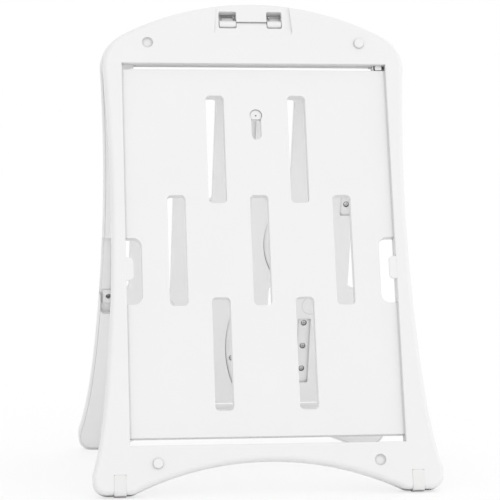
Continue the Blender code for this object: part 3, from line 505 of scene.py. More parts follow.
def plate(name, outline, holes, w0, w1):
    """A flat plate with holes."""
    loops = [outline] + holes
    corners = [point for loop in loops for point in loop]
    triangles = tessellate_polygon([[Vector((u, v, 0.0)) for u, v in loop] for loop in loops])
    bm = bmesh.new()
    low = [bm.verts.new(place(u, v, w0)) for u, v in corners]
    high = [bm.verts.new(place(u, v, w1)) for u, v in corners]
    for a, b, c in triangles:
        bm.faces.new((low[a], low[b], low[c]))
        bm.faces.new((high[c], high[b], high[a]))
    start = 0
    for loop in loops:
        for i in range(len(loop)):
            j = start + (i + 1) % len(loop)
            i += start
            bm.faces.new((low[i], low[j], high[j], high[i]))
        start += len(loop)
    return add_object(name, bm)


def turned_into(bm, stages, steps=48):
    """A closed round solid about the hinge axis; each stage is (x, radius), with radius 0 never used."""
    rings = [[(x * MM, r * MM * math.cos(a), r * MM * math.sin(a))
              for a in (2.0 * math.pi * i / steps for i in range(steps))] for x, r in stages]
    loft_into(bm, rings)


def extruded(name, items):
    """Separate solids of constant section across the leaf; each item is (u0, u1, section of (v, w))."""
    bm = bmesh.new()
    for u0, u1, section in items:
        loft_into(bm, [[place(u, v, w) for v, w in section] for u in (u0, u1)])
    return add_object(name, bm)


def rounded_bar(x0, x1, radius, edge, steps=4):
    turns = [HALF_PI * i / steps for i in range(steps + 1)]
    first = [(x0 + edge * (1.0 - math.cos(a)), radius - edge * (1.0 - math.sin(a))) for a in turns]
    return first + [(x1 - (x - x0), r) for x, r in reversed(first)]


def combine(obj, tool, operation):
    """Applies one Boolean and removes its tool."""
    modifier = obj.modifiers.new(operation, "BOOLEAN")
    modifier.operation = operation
    modifier.object = tool
    modifier.solver = "MANIFOLD"
    graph = bpy.context.evaluated_depsgraph_get()
    result = bpy.data.meshes.new_from_object(obj.evaluated_get(graph))
    obj.modifiers.clear()
    obj.data = result
    bpy.data.objects.remove(tool)
    return obj


def cut(obj, tool):
    return combine(obj, tool, "DIFFERENCE")


def join(obj, tool):
    return combine(obj, tool, "UNION")


def common(obj, tool):
    return combine(obj, tool, "INTERSECT")


# ---------------------------------------------------------------- the pieces of one leaf

WINDOW_LIMITS = (-WINDOW_HALF, WINDOW_HALF, WINDOW_TOP, WINDOW_BOTTOM)


def openings(face, floor, rim, gap_rim, hanger=True):
    """Cutters of the openings that go through the whole leaf, apart from those of the hinge."""
    through = pocket(face, floor, rim)
    items = [(slot_loop(u, v), through) for u, v in slot_centres()]
    handhold = handhold_loop()
    items += [(handhold, through, WINDOW_LIMITS), (mirrored(handhold), through, WINDOW_LIMITS)]
    if hanger:
        items.append((hanger_slot_loop(), through))
    gap_edge = pocket(face, floor, gap_rim)
    items.append((box(-WINDOW_HALF, GAP_END_U, WINDOW_TOP, PANEL_TOP), gap_edge, WINDOW_LIMITS))
    items.append((box(-WINDOW_HALF, WINDOW_HALF, PANEL_BOTTOM, WINDOW_BOTTOM), gap_edge, WINDOW_LIMITS))
    return items


def gap_notch_loop():
    """The wider back half of the upper gap, which opens the view through both leaves."""
    return box(-WINDOW_HALF, GAP_NOTCH_END_U, GAP_NOTCH_TOP, WINDOW_TOP + OVER)


def gap_stepped(reach):
    """The window with its walls, stepped round the notch of the upper gap."""
    top = WINDOW_TOP - WINDOW_WALL
    raised = GAP_NOTCH_TOP - WINDOW_WALL
    bottom = WINDOW_BOTTOM + WINDOW_WALL
    return [(-reach, raised), (GAP_STEP_U, raised), (GAP_STEP_U, top), (reach, top), (reach, bottom),
            (-reach, bottom)]


def hinge_block(w0, w1, grow=0.0):
    half, bottom = HINGE_BLOCK
    return prisms("block", [(box(-half - grow, half + grow, -OVER, bottom + grow), w0, w1)])


def ring_cavity(inset_outline):
    """The hollow of the frame all round the window, left solid at hinge, studs, sockets and foot pads."""
    reach = WINDOW_HALF + WINDOW_WALL
    window = gap_stepped(reach)
    bosses = [circle(u, v, SOCKET_BOSS_RADIUS, 12) for u, v in socket_places() + stud_places()]
    cavity = plate("ring", inset_outline, [window] + bosses, COVER_THICK, RING_CEILING_W)
    half, bottom = HINGE_BLOCK
    u0, u1, v0 = PAD_BOSS
    pad = box(u0, u1, v0, FOOT_V + OVER)
    return cut(cavity, prisms("solid", [(loop, COVER_THICK - OVER, RING_CEILING_W + OVER)
                                        for loop in (box(-half, half, -OVER, bottom), pad, mirrored(pad))]))


def panel_cavity():
    """The hollow behind the panel, with a collar round each opening."""
    wall_u = WINDOW_HALF - WINDOW_WALL
    notch = [(u, v) for u, v in handhold_loop(COLLAR) if u < wall_u]
    right = ([(wall_u, PANEL_TOP + WINDOW_WALL), (wall_u, HANDHOLD_V[0] - COLLAR)] + list(reversed(notch))
             + [(wall_u, HANDHOLD_V[1] + COLLAR), (wall_u, PANEL_BOTTOM - WINDOW_WALL)])
    collars = [slot_loop(u, v, COLLAR) for u, v in slot_centres()]
    hanger = rounded_box(-HANGER_RADIUS - COLLAR, HANGER_RADIUS + COLLAR, HANGER_V - HANGER_RADIUS - COLLAR,
                         HANGER_SLOT_BOTTOM + COLLAR, SLOT_RADIUS)
    return plate("hollow", right + mirrored(right), collars + [hanger], COVER_THICK, PANEL_CEILING_W)


def leaf_shell(outline):
    """Frame and panel as one hollow moulding, open at the back for the cover."""
    shell = shaped("shell", [(outline, rounded_slab(0.0, LEAF_THICK, BACK_ROUNDING, FRONT_ROUNDING, 10))])
    window = box(-WINDOW_HALF, WINDOW_HALF, WINDOW_TOP, WINDOW_BOTTOM)
    cut(shell, shaped("window", [(window, pocket(LEAF_THICK, PANEL_FACE_W, WINDOW_RIM, WINDOW_COVE))]))
    inset_outline = offset(outline, SIDE_WALL)
    seat = prisms("seat", [(inset_outline, -OVER, COVER_THICK + GAP)])
    cut(shell, cut(seat, hinge_block(-2 * OVER, COVER_THICK + OVER)))
    cut(shell, ring_cavity(inset_outline))
    cut(shell, panel_cavity())
    seat_end = HANGER_POCKET_W + RECESS_RIM + GAP
    cut(shell, prisms("hanger", [(hanger_pocket(RECESS_RIM + GAP), COVER_THICK - OVER, seat_end)]))
    cut(shell, shaped("openings", openings(PANEL_FACE_W, -OVER, SLOT_RIM, GAP_RIM)))
    cut(shell, shaped("notch", [(gap_notch_loop(), pocket(0.0, GAP_NOTCH_W, COVER_RIM))]))
    cut(shell, shaped("blind", blind_items()))
    cut(shell, latch_slot())
    grip = pocket(0.0, GRIP_FLOOR_W, *GRIP_EDGE)
    cut(shell, shaped("grips", [(grip_loop(), grip), (mirrored(grip_loop()), grip)]))
    tab = rounded_box(TAB_INNER_U, WINDOW_HALF + 15.0, *TAB_V, TAB_RADIUS)
    edges = rounded_slab(*TAB_W, TAB_EDGE, TAB_EDGE)
    join(shell, shaped("tabs", [(tab, edges), (mirrored(tab), edges)]))
    cut_hinge(shell)
    cut(shell, pad_solids("pad_seats", PAD_FIT))
    return shell


def blind_items():
    """Sockets, stud holes, hanger recess, latch pocket and screw holes, none of which goes through."""
    items = [(circle(u, v, SOCKET_RADIUS), pocket(LEAF_THICK, LEAF_THICK - SOCKET_DEPTH, 1.2, 1.5))
             for u, v in socket_places()]
    items += [(circle(u, v, STUD_SHANK_RADIUS + GAP), pocket(LEAF_THICK, LEAF_THICK - STUD_SHANK - GAP))
              for u, v in stud_places()]
    items.append((circle(0.0, HANGER_V, HANGER_RADIUS, 48), pocket(PANEL_FACE_W, HANGER_RECESS_W, SLOT_RIM)))
    items.append((box(GAP_END_U + OVER, WINDOW_HALF, WINDOW_TOP, PANEL_TOP),
                  pocket(PANEL_FACE_W, LATCH_POCKET_W, 0.8), WINDOW_LIMITS))
    items += [(circle(u, v, SCREW_RADIUS + GAP, 12),
               [(0.0, PANEL_CEILING_W - OVER), (0.0, SCREW_END_W + GAP)]) for u, v in panel_screws()]
    items += [(circle(u, v, SCREW_RADIUS + GAP, 12),
               [(0.0, RING_CEILING_W - OVER), (0.0, RAIL_SCREW_END_W + GAP)]) for u, v in rail_screws()]
    return items


def latch_slot():
    """The slot through the window's edge that the latch's stem slides in."""
    loop = box(LATCH_STEM_U[0] - GAP, LATCH_STEM_U[1] + GAP,
               WINDOW_TOP - WINDOW_WALL - OVER, WINDOW_TOP + OVER)
    return prisms("slot", [(loop, LATCH_W[0] - GAP, LATCH_W[1] + GAP)])


def cut_hinge(shell):
    """The brow, groove, windows with their lips, knuckle pockets, top bevel and the leaf's own knuckles."""
    face = LEAF_THICK - BROW_DEPTH
    ramp = (LEAF_THICK + OVER - face) * (BROW_BOTTOM_V - BROW_RAMP_V) / BROW_DEPTH
    section = [(-3 * OVER, face - 1.0), (BROW_RAMP_V - 4.0, face - 1.0), (BROW_RAMP_V, face),
               (BROW_RAMP_V + ramp, LEAF_THICK + OVER), (-3 * OVER, LEAF_THICK + OVER)]
    half = BROW_HALF_WIDTH[1] + OVER
    brow = shaped("brow", [(brow_loop(), pocket(LEAF_THICK, face, 1.5, 3.0))])
    cut(shell, common(brow, extruded("ramp", [(-half, half, section)])))
    steps = [i / 8 for i in range(9)]
    groove = [(BAR_BOTTOM_V + (GROOVE_BOTTOM_V - BAR_BOTTOM_V) * t, face - GROOVE_DEPTH * (1.0 - t) ** 2)
              for t in steps]
    groove += [(GROOVE_BOTTOM_V, face + OVER), (BAR_BOTTOM_V - 1.0, face + OVER), (BAR_BOTTOM_V - 1.0, face),
               (BAR_BOTTOM_V - 0.3, face - 0.3), (BAR_BOTTOM_V, face - 1.0)]
    cut(shell, extruded("groove", [(HINGE_WINDOW_LEFT[1] - OVER, HINGE_WINDOW_RIGHT[0] + OVER, groove)]))
    spans = (HINGE_WINDOW_LEFT, HINGE_WINDOW_RIGHT)
    opening = pocket(face, HINGE_POCKET_W - OVER, 1.0)
    cut(shell, shaped("windows", [(rounded_box(*span, *HINGE_WINDOW_V, HINGE_WINDOW_RADIUS), opening)
                                  for span in spans]))
    left = box(-HINGE_POCKET[1], -HINGE_POCKET[0], *HINGE_WINDOW_V)
    edge = pocket(0.0, HINGE_POCKET_W, 0.8, 1.5)
    cut(shell, shaped("pockets", [(left, edge), (mirrored(left), edge)]))
    end = HINGE_WINDOW_V[1]
    under, crest, brim = LIP_W
    turns = [math.pi * i / 24 for i in range(25)]
    lip = [((end + LIP_TOP_V) / 2 - (end - LIP_TOP_V) / 2 * math.cos(a), crest + (brim - crest) * math.sin(a))
           for a in turns]
    lip += [(end + OVER, crest), (end + OVER, under), (LIP_TOP_V, under)]
    join(shell, extruded("lips", [(u0 + LIP_GAP[0], u1 - LIP_GAP[1], lip) for u0, u1 in spans]))
    low, middle, high = KNUCKLE_SPANS
    fork = [(-span[1], -span[0]) for span in (high, low)]
    web_v = (HINGE_WINDOW_V[0] - OVER, HINGE_WINDOW_V[1] + OVER)
    join(shell, prisms("webs", [(box(*span, *web_v), 0.0, WEB_W) for span in fork + [middle]]))
    cut(shell, top_bevel())
    knuckles = bmesh.new()
    for span in fork:
        turned_into(knuckles, rounded_bar(*span, OUTER_KNUCKLE_RADIUS, 1.0))
    turned_into(knuckles, rounded_bar(*middle, MIDDLE_KNUCKLE_RADIUS, 1.2))
    join(shell, add_object("knuckles", knuckles))
    bores = bmesh.new()
    for span in fork:
        turned_into(bores, [(span[0] - GAP, PIN_BORE_RADIUS), (span[1] + GAP, PIN_BORE_RADIUS)])
    turned_into(bores, [(middle[0] - GAP, BUSH_BORE_RADIUS), (middle[1] + GAP, BUSH_BORE_RADIUS)])
    cut(shell, add_object("bores", bores))


def top_bevel():
    """Everything above the hinge that lies past the vertical plane between the open leaves."""
    near = GAP / math.cos(LEAN)
    reach = HINGE_V + OVER
    profile = [(-near, 0.0), (-near - reach * math.tan(LEAN), reach), (reach, reach), (reach, 0.0)]
    span = SHOULDER_HALF_WIDTH * MM
    bm = bmesh.new()
    loft_into(bm, [[(x, y * MM, z * MM) for y, z in profile] for x in (-span, span)])
    return add_object("bevel", bm)


def back_cover(outline):
    """Flat inner cover with the same openings as the shell, pockets for its screws and two filler holes."""
    cover = shaped("cover", [(offset(outline, SIDE_WALL + GAP), rounded_slab(0.0, COVER_THICK, 0.8, 0.4, 3))])
    cut(cover, hinge_block(-OVER, COVER_THICK + OVER, GAP))
    cut(cover, top_bevel())
    cut(cover, shaped("notch", [(gap_notch_loop(), pocket(0.0, COVER_THICK + OVER, COVER_RIM))]))
    blocks = []
    recesses = []

    def recess(loop, grown, floor_w, end_w, edge):
        for side in (list, mirrored):
            blocks.append((side(grown), BLOCK_START_W, end_w))
            recesses.append((side(loop), pocket(0.0, floor_w, *edge)))

    for span in LONG_RECESS_V:
        grown = box(LONG_RECESS_U[0] - RECESS_RIM, LONG_RECESS_U[1] + RECESS_RIM,
                    span[0] - RECESS_RIM, span[1] + RECESS_RIM)
        recess(rounded_box(*LONG_RECESS_U, *span, RECESS_RADIUS), grown, RECESS_FLOOR_W, BLOCK_END_W,
               RECESS_EDGE)
    grown = box(SHORT_RECESS_U[0] - RECESS_RIM, SHORT_RECESS_U[1] + RECESS_RIM,
                SHORT_RECESS_V[0] - RECESS_RIM, SHORT_RECESS_V[1] + RECESS_RIM)
    recess(rounded_box(*SHORT_RECESS_U, *SHORT_RECESS_V, RECESS_RADIUS), grown, RECESS_FLOOR_W, BLOCK_END_W,
           RECESS_EDGE)
    u, v, half_width, half_height = LENS_SIDE
    lens_end = LENS_FLOOR_W + LENS_SKIN
    recess(lens(u, v, half_width, half_height), lens(u, v, half_width + LENS_WALL, half_height + LENS_WALL),
           LENS_TRENCH_W, lens_end, LENS_EDGE)
    u, v, half_width, half_height = LENS_MIDDLE
    blocks.append((lens(u, v, half_width + LENS_WALL, half_height + LENS_WALL), BLOCK_START_W, lens_end))
    recesses.append((lens(u, v, half_width, half_height), pocket(0.0, LENS_TRENCH_W, *LENS_EDGE)))
    blocks.append((hanger_pocket(RECESS_RIM), BLOCK_START_W, HANGER_POCKET_W + RECESS_RIM))
    recesses.append((hanger_pocket(), pocket(0.0, HANGER_POCKET_W, *GRIP_EDGE)))
    plug_u, plug_v = PLUG_UV
    for u in (plug_u, -plug_u):
        blocks.append((circle(u, plug_v, PLUG_BOSS_RADIUS, 16), BLOCK_START_W, PLUG_BOSS_W))
        recesses.append((circle(u, plug_v, PLUG_RADIUS + GAP, 64), pocket(0.0, PLUG_HEAD + GAP, 0.6)))
    join(cover, prisms("blocks", blocks))
    inside = prisms("inside", [(offset(outline, SIDE_WALL + GAP), 0.0, LEAF_THICK)])
    grown = grip_loop(GRIP_WALL)
    join(cover, common(prisms("grip", [(side, BLOCK_START_W, GRIP_FLOOR_W + RECESS_RIM)
                                       for side in (grown, mirrored(grown))]), inside))
    edge = pocket(0.0, GRIP_FLOOR_W, *GRIP_EDGE)
    recesses += [(grip_loop(), edge), (mirrored(grip_loop()), edge)]
    bosses = [(circle(u, v, SCREW_BOSS_RADIUS, 16), BLOCK_START_W, BLOCK_END_W)
              for u, v in (LONE_SCREW, (-LONE_SCREW[0], LONE_SCREW[1]), LENS_SCREW)]
    join(cover, prisms("bosses", bosses))
    cut(cover, shaped("openings", openings(0.0, COVER_THICK + OVER, BACK_RIM, COVER_RIM, hanger=False)))
    cut(cover, shaped("recesses", recesses))
    raised = []
    sunk = []
    floors = []
    for u, v, half_width, half_height in (LENS_SIDE, (-LENS_SIDE[0],) + LENS_SIDE[1:], LENS_MIDDLE):
        loop = lens(u, v, half_width - LENS_TRENCH[0], half_height - LENS_TRENCH[1])
        floors.append((loop, rounded_slab(LENS_FLOOR_W, lens_end, 0.5, 0.5, 2)[:3] + [(0.0, lens_end - 1.0)]))
    join(cover, shaped("lens_floors", floors))
    raised_pad = box(GRIP_U[0] - GRIP_WALL / 2, GRIP_PAD_U, *GRIP_PAD_V)
    edges = rounded_slab(GRIP_PAD_W, GRIP_FLOOR_W + RECESS_RIM / 2, 0.7, 0.0, 3)[:-1]
    for side in (raised_pad, mirrored(raised_pad)):
        raised.append((side, edges))
    for u, v in rail_screws():
        sunk.append((u, v, GRIP_COUNTERBORE_RADIUS, GRIP_SCREW_SEAT_W, GRIP_BOSS_END_W, GRIP_PAD_W))
    join(cover, shaped("raised", raised))
    join(cover, prisms("rail_bosses", [(circle(u, v, GRIP_BOSS_RADIUS, 16), GRIP_FLOOR_W, GRIP_BOSS_END_W)
                                       for u, v in rail_screws()]))
    for u, v in panel_screws():
        face = RECESS_FLOOR_W
        if (abs(u), v) == LONE_SCREW:
            face = 0.0
        if (u, v) == LENS_SCREW:
            face = LENS_FLOOR_W
        sunk.append((u, v, COUNTERBORE_RADIUS, COUNTERBORE_FLOOR_W, BLOCK_END_W, face))
    cut(cover, shaped("sunk", [(circle(u, v, radius, 32), pocket(face, seat, 0.8)[:-1] + [(-0.8, face - 0.5)])
                               for u, v, radius, seat, _, face in sunk]))
    holes = [(circle(u, v, SCREW_RADIUS + GAP, 16), seat - OVER / 2, end + OVER)
             for u, v, _, seat, end, _ in sunk]
    holes += [(circle(u, plug_v, PLUG_NECK_RADIUS + GAP, 48), -OVER, PLUG_BOSS_W + OVER)
              for u in (plug_u, -plug_u)]
    cut(cover, prisms("holes", holes))
    hanger = pocket(HANGER_POCKET_W, HANGER_POCKET_W + RECESS_RIM + OVER, COVER_RIM)
    cut(cover, shaped("hanger", [(hanger_slot_loop(), hanger)]))
    return cover


def lathe(name, u, v, stages, steps=40):
    """A closed solid of round rings along w; each stage is (radius, w)."""
    bm = bmesh.new()
    loft_into(bm, [[place(a, b, w) for a, b in circle(u, v, radius, steps)] for radius, w in stages])
    return add_object(name, bm)


def quarter(radius_from, w_from, radius_to, w_to, bulge, steps=5):
    """Stages of a quarter ellipse between two lathe stages; bulge 1 keeps the radius at first, 0 keeps w."""
    stages = []
    for i in range(steps + 1):
        a = HALF_PI * i / steps
        along = math.sin(a) if bulge else 1.0 - math.cos(a)
        across = 1.0 - math.cos(a) if bulge else math.sin(a)
        stages.append((radius_from + (radius_to - radius_from) * across, w_from + (w_to - w_from) * along))
    return stages


def cover_screws():
    """The screws of one cover: a domed head with a cross recess and a plain shank."""
    seats = [(point, COUNTERBORE_FLOOR_W, SCREW_END_W) for point in panel_screws()]
    seats += [(point, GRIP_SCREW_SEAT_W, RAIL_SCREW_END_W) for point in rail_screws()]
    screws = {}
    for number, ((u, v), seat, end) in enumerate(seats, 1):
        under = seat - GAP
        top = under - SCREW_HEAD
        stages = [(0.4, top)] + quarter(1.5, top, SCREW_HEAD_RADIUS, top + SCREW_DOME, 0)
        stages += [(SCREW_HEAD_RADIUS, under), (SCREW_RADIUS, under), (SCREW_RADIUS, end - 1.0), (0.7, end)]
        screw = lathe("screw", u, v, stages, 32)
        reach, arm, depth = SCREW_CROSS
        cross = [box(u - reach, u + reach, v - arm, v + arm), box(u - arm, u + arm, v - reach, v + reach)]
        for loop in cross:
            cut(screw, prisms("cross", [(loop, top - OVER, top + depth)]))
        screws[f"cover_screw_{number:02d}"] = screw
    return screws


def fill_plug(side):
    """Flush disc with a rounded edge and a shallow round dimple."""
    u, v = PLUG_UV
    stages = [(3.0, 0.5), (9.0, 0.5)] + quarter(9.6, 0.4, 10.4, 0.0, 0, 3)
    stages += quarter(PLUG_RADIUS - 0.8, 0.0, PLUG_RADIUS, 0.8, 0, 4)
    stages += [(PLUG_RADIUS, PLUG_HEAD), (PLUG_NECK_RADIUS, PLUG_HEAD), (PLUG_NECK_RADIUS, PLUG_NECK_W - 1.0),
               (PLUG_NECK_RADIUS - 1.0, PLUG_NECK_W)]
    return lathe("plug", side * u, v, stages, 64)


def stud(u, v):
    base = LEAF_THICK + GAP
    top = base + STUD_HEIGHT
    stages = [(STUD_SHANK_RADIUS, LEAF_THICK - STUD_SHANK), (STUD_SHANK_RADIUS, base),
              (STUD_RADIUS - 0.4, base), (STUD_RADIUS, base + 0.4)]
    stages += quarter(STUD_RADIUS, top - 2.2, STUD_RADIUS - 2.2, top, 1)
    stages += [(2.0, top)]
    return lathe("stud", u, v, stages, 48)


def pad_profile(grow):
    """The pad's section as (v, w): a leg on the outer face, a bend and a sole cut flat for the floor."""
    seat_v = PAD_SEAT_V - grow
    seat_w = PAD_SEAT_W - grow
    bend = arc(PAD_SEAT_V - PAD_SEAT_RADIUS, PAD_SEAT_W - PAD_SEAT_RADIUS, PAD_SEAT_RADIUS - grow,
               0.0, 90.0, 10)
    if grow:
        return ([(PAD_TOP_V - grow, PAD_FACE_W + OVER), (PAD_BOTTOM_V + OVER, PAD_FACE_W + OVER),
                 (PAD_BOTTOM_V + OVER, -OVER), (seat_v, -OVER)] + bend + [(PAD_TOP_V - grow, seat_w)])
    flat_v = PAD_BOTTOM_V - (PAD_FLAT_W - PAD_BACK_W) * math.tan(LEAN)
    turns = [HALF_PI * i / 12 for i in range(13)]
    down, back = PAD_BEND
    outer = [(PAD_BOTTOM_V - down + down * math.sin(a), PAD_FACE_W - back + back * math.cos(a))
             for a in turns]
    top = [(PAD_TOP_V + PAD_TOP_BEND * (1.0 - math.cos(a)), PAD_FACE_W - PAD_TOP_BEND * (1.0 - math.sin(a)))
           for a in (HALF_PI * i / 4 for i in range(5))]
    return (top + outer + [(PAD_BOTTOM_V, PAD_FLAT_W), (flat_v, PAD_BACK_W),
            (seat_v, PAD_BACK_W)] + bend + [(PAD_TOP_V, seat_w)])


def pad_solids(name, grow=0.0, sides=(-1, 1)):
    bm = bmesh.new()
    for side in sides:
        rings = [[place(side * (u + step), v, w) for v, w in pad_profile(grow)]
                 for u, step in zip(PAD_U, (-grow, grow))]
        loft_into(bm, rings)
    return add_object(name, bm)


def foot_pad(side):
    """The strap round the foot, with round upper corners and soft edges."""
    plan = rounded_box(*PAD_U, PAD_TOP_V, PAD_BOTTOM_V + 4 * PAD_CORNER, PAD_CORNER)
    if side < 0:
        plan = mirrored(plan)
    return common(pad_solids("pad", sides=(side,)),
                  shaped("plan", [(plan, rounded_slab(-OVER, PAD_FACE_W, 0.5, PAD_EDGE))]))


def hanger_plate():
    """Round plate at the bottom of the hanging hole, cut straight above the slot."""
    radius = HANGER_RADIUS - GAP
    rise = HANGER_SLOT_TOP - GAP - HANGER_V
    start = math.degrees(math.asin(rise / radius))
    outline = arc(0.0, HANGER_V, radius, 180.0 - start, 360.0 + start, 40)
    floor = HANGER_RECESS_W + GAP
    disc = shaped("hanger", [(outline, rounded_slab(floor, floor + HANGER_PLATE_THICK, 0.3, 0.8, 4))])
    hole = circle(0.0, HANGER_V, HANGER_HOLE_RADIUS, 24)
    return cut(disc, shaped("hole", [(hole, pocket(floor + HANGER_PLATE_THICK, floor - OVER, 0.5))]))


def sheet_latch():
    """A flat T: its stem shows in the pocket and its head stays behind the window's edge."""
    u0, u1 = LATCH_STEM_U
    h0, h1 = LATCH_HEAD_U
    head_v, head_end = LATCH_HEAD_V
    radius = LATCH_TIP_RADIUS
    end = LATCH_STEM_V[1] - radius
    tip = arc(u1 - radius, end, radius, 0.0, 90.0, 4) + arc(u0 + radius, end, radius, 90.0, 180.0, 4)
    head = [(h0, head_v), (h1, head_v), (h1, head_end), (u1, head_end)]
    outline = head + tip + [(u0, head_end), (h0, head_end)]
    return shaped("latch", [(outline, rounded_slab(*LATCH_W, 0.6, 1.0, 4))])


# ---------------------------------------------------------------- materials

# Painted shade: an ambient-occlusion mask darkens the base colour in crevices, corners and recesses; how far
# it looks (m), the occlusion range mapped, and the darkest factor.
CREVICE_REACH = 0.009
CREVICE_RANGE = (0.25, 0.85)
CREVICE_SHADE = 0.5


def plastic(name, colour, roughness, grain=0.012, wave=0.06):
    """Moulded plastic: slight unevenness, a fine grain, a little variation of colour and gloss, and painted
    shade: a darker base colour in narrow crevices and corners, where shade falls."""
    made = bpy.data.materials.new(name)
    made.use_nodes = True
    tree = made.node_tree
    nodes = tree.nodes
    links = tree.links
    shader = nodes["Principled BSDF"]
    where = nodes.new("ShaderNodeTexCoord")

    def noise(scale, detail):
        texture = nodes.new("ShaderNodeTexNoise")
        texture.inputs["Scale"].default_value = scale
        texture.inputs["Detail"].default_value = detail
        links.new(where.outputs["Object"], texture.inputs["Vector"])
        return texture

    blotch = noise(7.0, 3.0)
    tint = nodes.new("ShaderNodeMixRGB")
    tint.inputs["Color1"].default_value = (*[c * 0.975 for c in colour], 1.0)
    tint.inputs["Color2"].default_value = (*colour, 1.0)
    links.new(blotch.outputs["Fac"], tint.inputs["Fac"])
    # Painted shade: ambient occlusion, mapped to a factor from CREVICE_SHADE up to 1, multiplies the base
    # colour so crevices and corners come out darker.
    crevice = nodes.new("ShaderNodeAmbientOcclusion")
    crevice.samples = 8
    crevice.inputs["Distance"].default_value = CREVICE_REACH
    painted_shade_ramp = nodes.new("ShaderNodeMapRange")
    painted_shade_ramp.inputs["From Min"].default_value = CREVICE_RANGE[0]
    painted_shade_ramp.inputs["From Max"].default_value = CREVICE_RANGE[1]
    painted_shade_ramp.inputs["To Min"].default_value = CREVICE_SHADE
    links.new(crevice.outputs["AO"], painted_shade_ramp.inputs["Value"])
    shade = nodes.new("ShaderNodeMixRGB")
    shade.blend_type = "MULTIPLY"
    shade.inputs["Fac"].default_value = 1.0
    links.new(tint.outputs["Color"], shade.inputs["Color1"])
    links.new(painted_shade_ramp.outputs["Result"], shade.inputs["Color2"])
    links.new(shade.outputs["Color"], shader.inputs["Base Color"])
    gloss = nodes.new("ShaderNodeMapRange")
    gloss.inputs["To Min"].default_value = roughness - 0.06
    gloss.inputs["To Max"].default_value = roughness + 0.06
    links.new(noise(38.0, 4.0).outputs["Fac"], gloss.inputs["Value"])
    links.new(gloss.outputs["Result"], shader.inputs["Roughness"])
    fine = nodes.new("ShaderNodeBump")
    fine.inputs["Strength"].default_value = 0.35
    fine.inputs["Distance"].default_value = grain * MM * 8
    links.new(noise(900.0, 2.0).outputs["Fac"], fine.inputs["Height"])
    broad = nodes.new("ShaderNodeBump")
    broad.inputs["Strength"].default_value = 0.5
    broad.inputs["Distance"].default_value = wave * MM
    links.new(noise(22.0, 1.0).outputs["Fac"], broad.inputs["Height"])
    links.new(broad.outputs["Normal"], fine.inputs["Normal"])
    links.new(fine.outputs["Normal"], shader.inputs["Normal"])
    return made


def metal(name, colour, roughness):
    made = plastic(name, colour, roughness, 0.004, 0.01)
    made.node_tree.nodes["Principled BSDF"].inputs["Metallic"].default_value = 1.0
    return made


# ---------------------------------------------------------------- assembly

def finish_mesh(obj, name, look, sharp=38.0):
    obj.name = name
    bm = bmesh.new()
    bm.from_mesh(obj.data)
    bmesh.ops.remove_doubles(bm, verts=bm.verts, dist=0.000004)
    bmesh.ops.dissolve_degenerate(bm, dist=0.000004, edges=bm.edges)
    bmesh.ops.recalc_face_normals(bm, faces=bm.faces)
    limit = math.radians(sharp)
    for face in bm.faces:
        face.smooth = True
    for edge in bm.edges:
        edge.smooth = edge.is_manifold and edge.calc_face_angle(0.0) < limit
    bm.to_mesh(obj.data)
    bm.free()
    obj.data.materials.clear()
    obj.data.materials.append(look)
    weighted = obj.modifiers.new("weighted", "WEIGHTED_NORMAL")
    weighted.keep_sharp = True
    weighted.mode = "FACE_AREA"
    weighted.weight = 50
    return obj


HINGE_AT = Vector(next(j for j in frame["joints"] if j["name"] == "leaf_fold")["pos_m"])
FRONT_PLACE = Matrix.Translation(HINGE_AT) @ Matrix.Rotation(-LEAN, 4, "X")
REAR_PLACE = Matrix.Translation(HINGE_AT) @ Matrix.Rotation(math.pi, 4, "Z") @ Matrix.Rotation(-LEAN, 4, "X")

WHITE = (0.80, 0.80, 0.80)
SHELL_LOOK = plastic("white_shell", WHITE, 0.5)
FITTING_LOOK = plastic("white_fitting", (0.79, 0.79, 0.785), 0.42)
RUBBER_LOOK = plastic("pale_rubber", (0.78, 0.78, 0.775), 0.7)
STEEL_LOOK = metal("plated_steel", (0.72, 0.72, 0.71), 0.35)

SLOTS = {"shell_plastic": SHELL_LOOK, "fitting_plastic": FITTING_LOOK, "foot_rubber": RUBBER_LOOK,
         "screw_steel": STEEL_LOOK}
NODE_SLOT = {part["node"]: part["material_slot"] for part in frame["record"]["subparts"]}


def put(obj, node, matrix, body):
    obj.data.transform(matrix)
    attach(obj, body)
    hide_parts(node)


def make_leaf():
    outline = leaf_outline()
    top, bottom = stud_places()
    return {
        "leaf_shell": leaf_shell(outline),
        "back_cover": back_cover(outline),
        "fill_plug_left": fill_plug(-1),
        "fill_plug_right": fill_plug(1),
        "foot_pad_left": foot_pad(-1),
        "foot_pad_right": foot_pad(1),
        "stud_top": stud(*top),
        "stud_bottom": stud(*bottom),
        "hanger_plate": hanger_plate(),
        "sheet_latch": sheet_latch(),
        **cover_screws(),
    }


for piece, made in make_leaf().items():
    front_node = "front_" + piece
    rear_node = "rear_" + piece
    finish_mesh(made, front_node + "_fine", SLOTS[NODE_SLOT[front_node]])
    twin = made.copy()
    twin.data = made.data.copy()
    twin.name = rear_node + "_fine"
    bpy.context.scene.collection.objects.link(twin)
    latch = piece == "sheet_latch"
    put(made, front_node, FRONT_PLACE, "front_latch" if latch else "front_leaf")
    put(twin, rear_node, REAR_PLACE, "rear_latch" if latch else "rear_leaf")

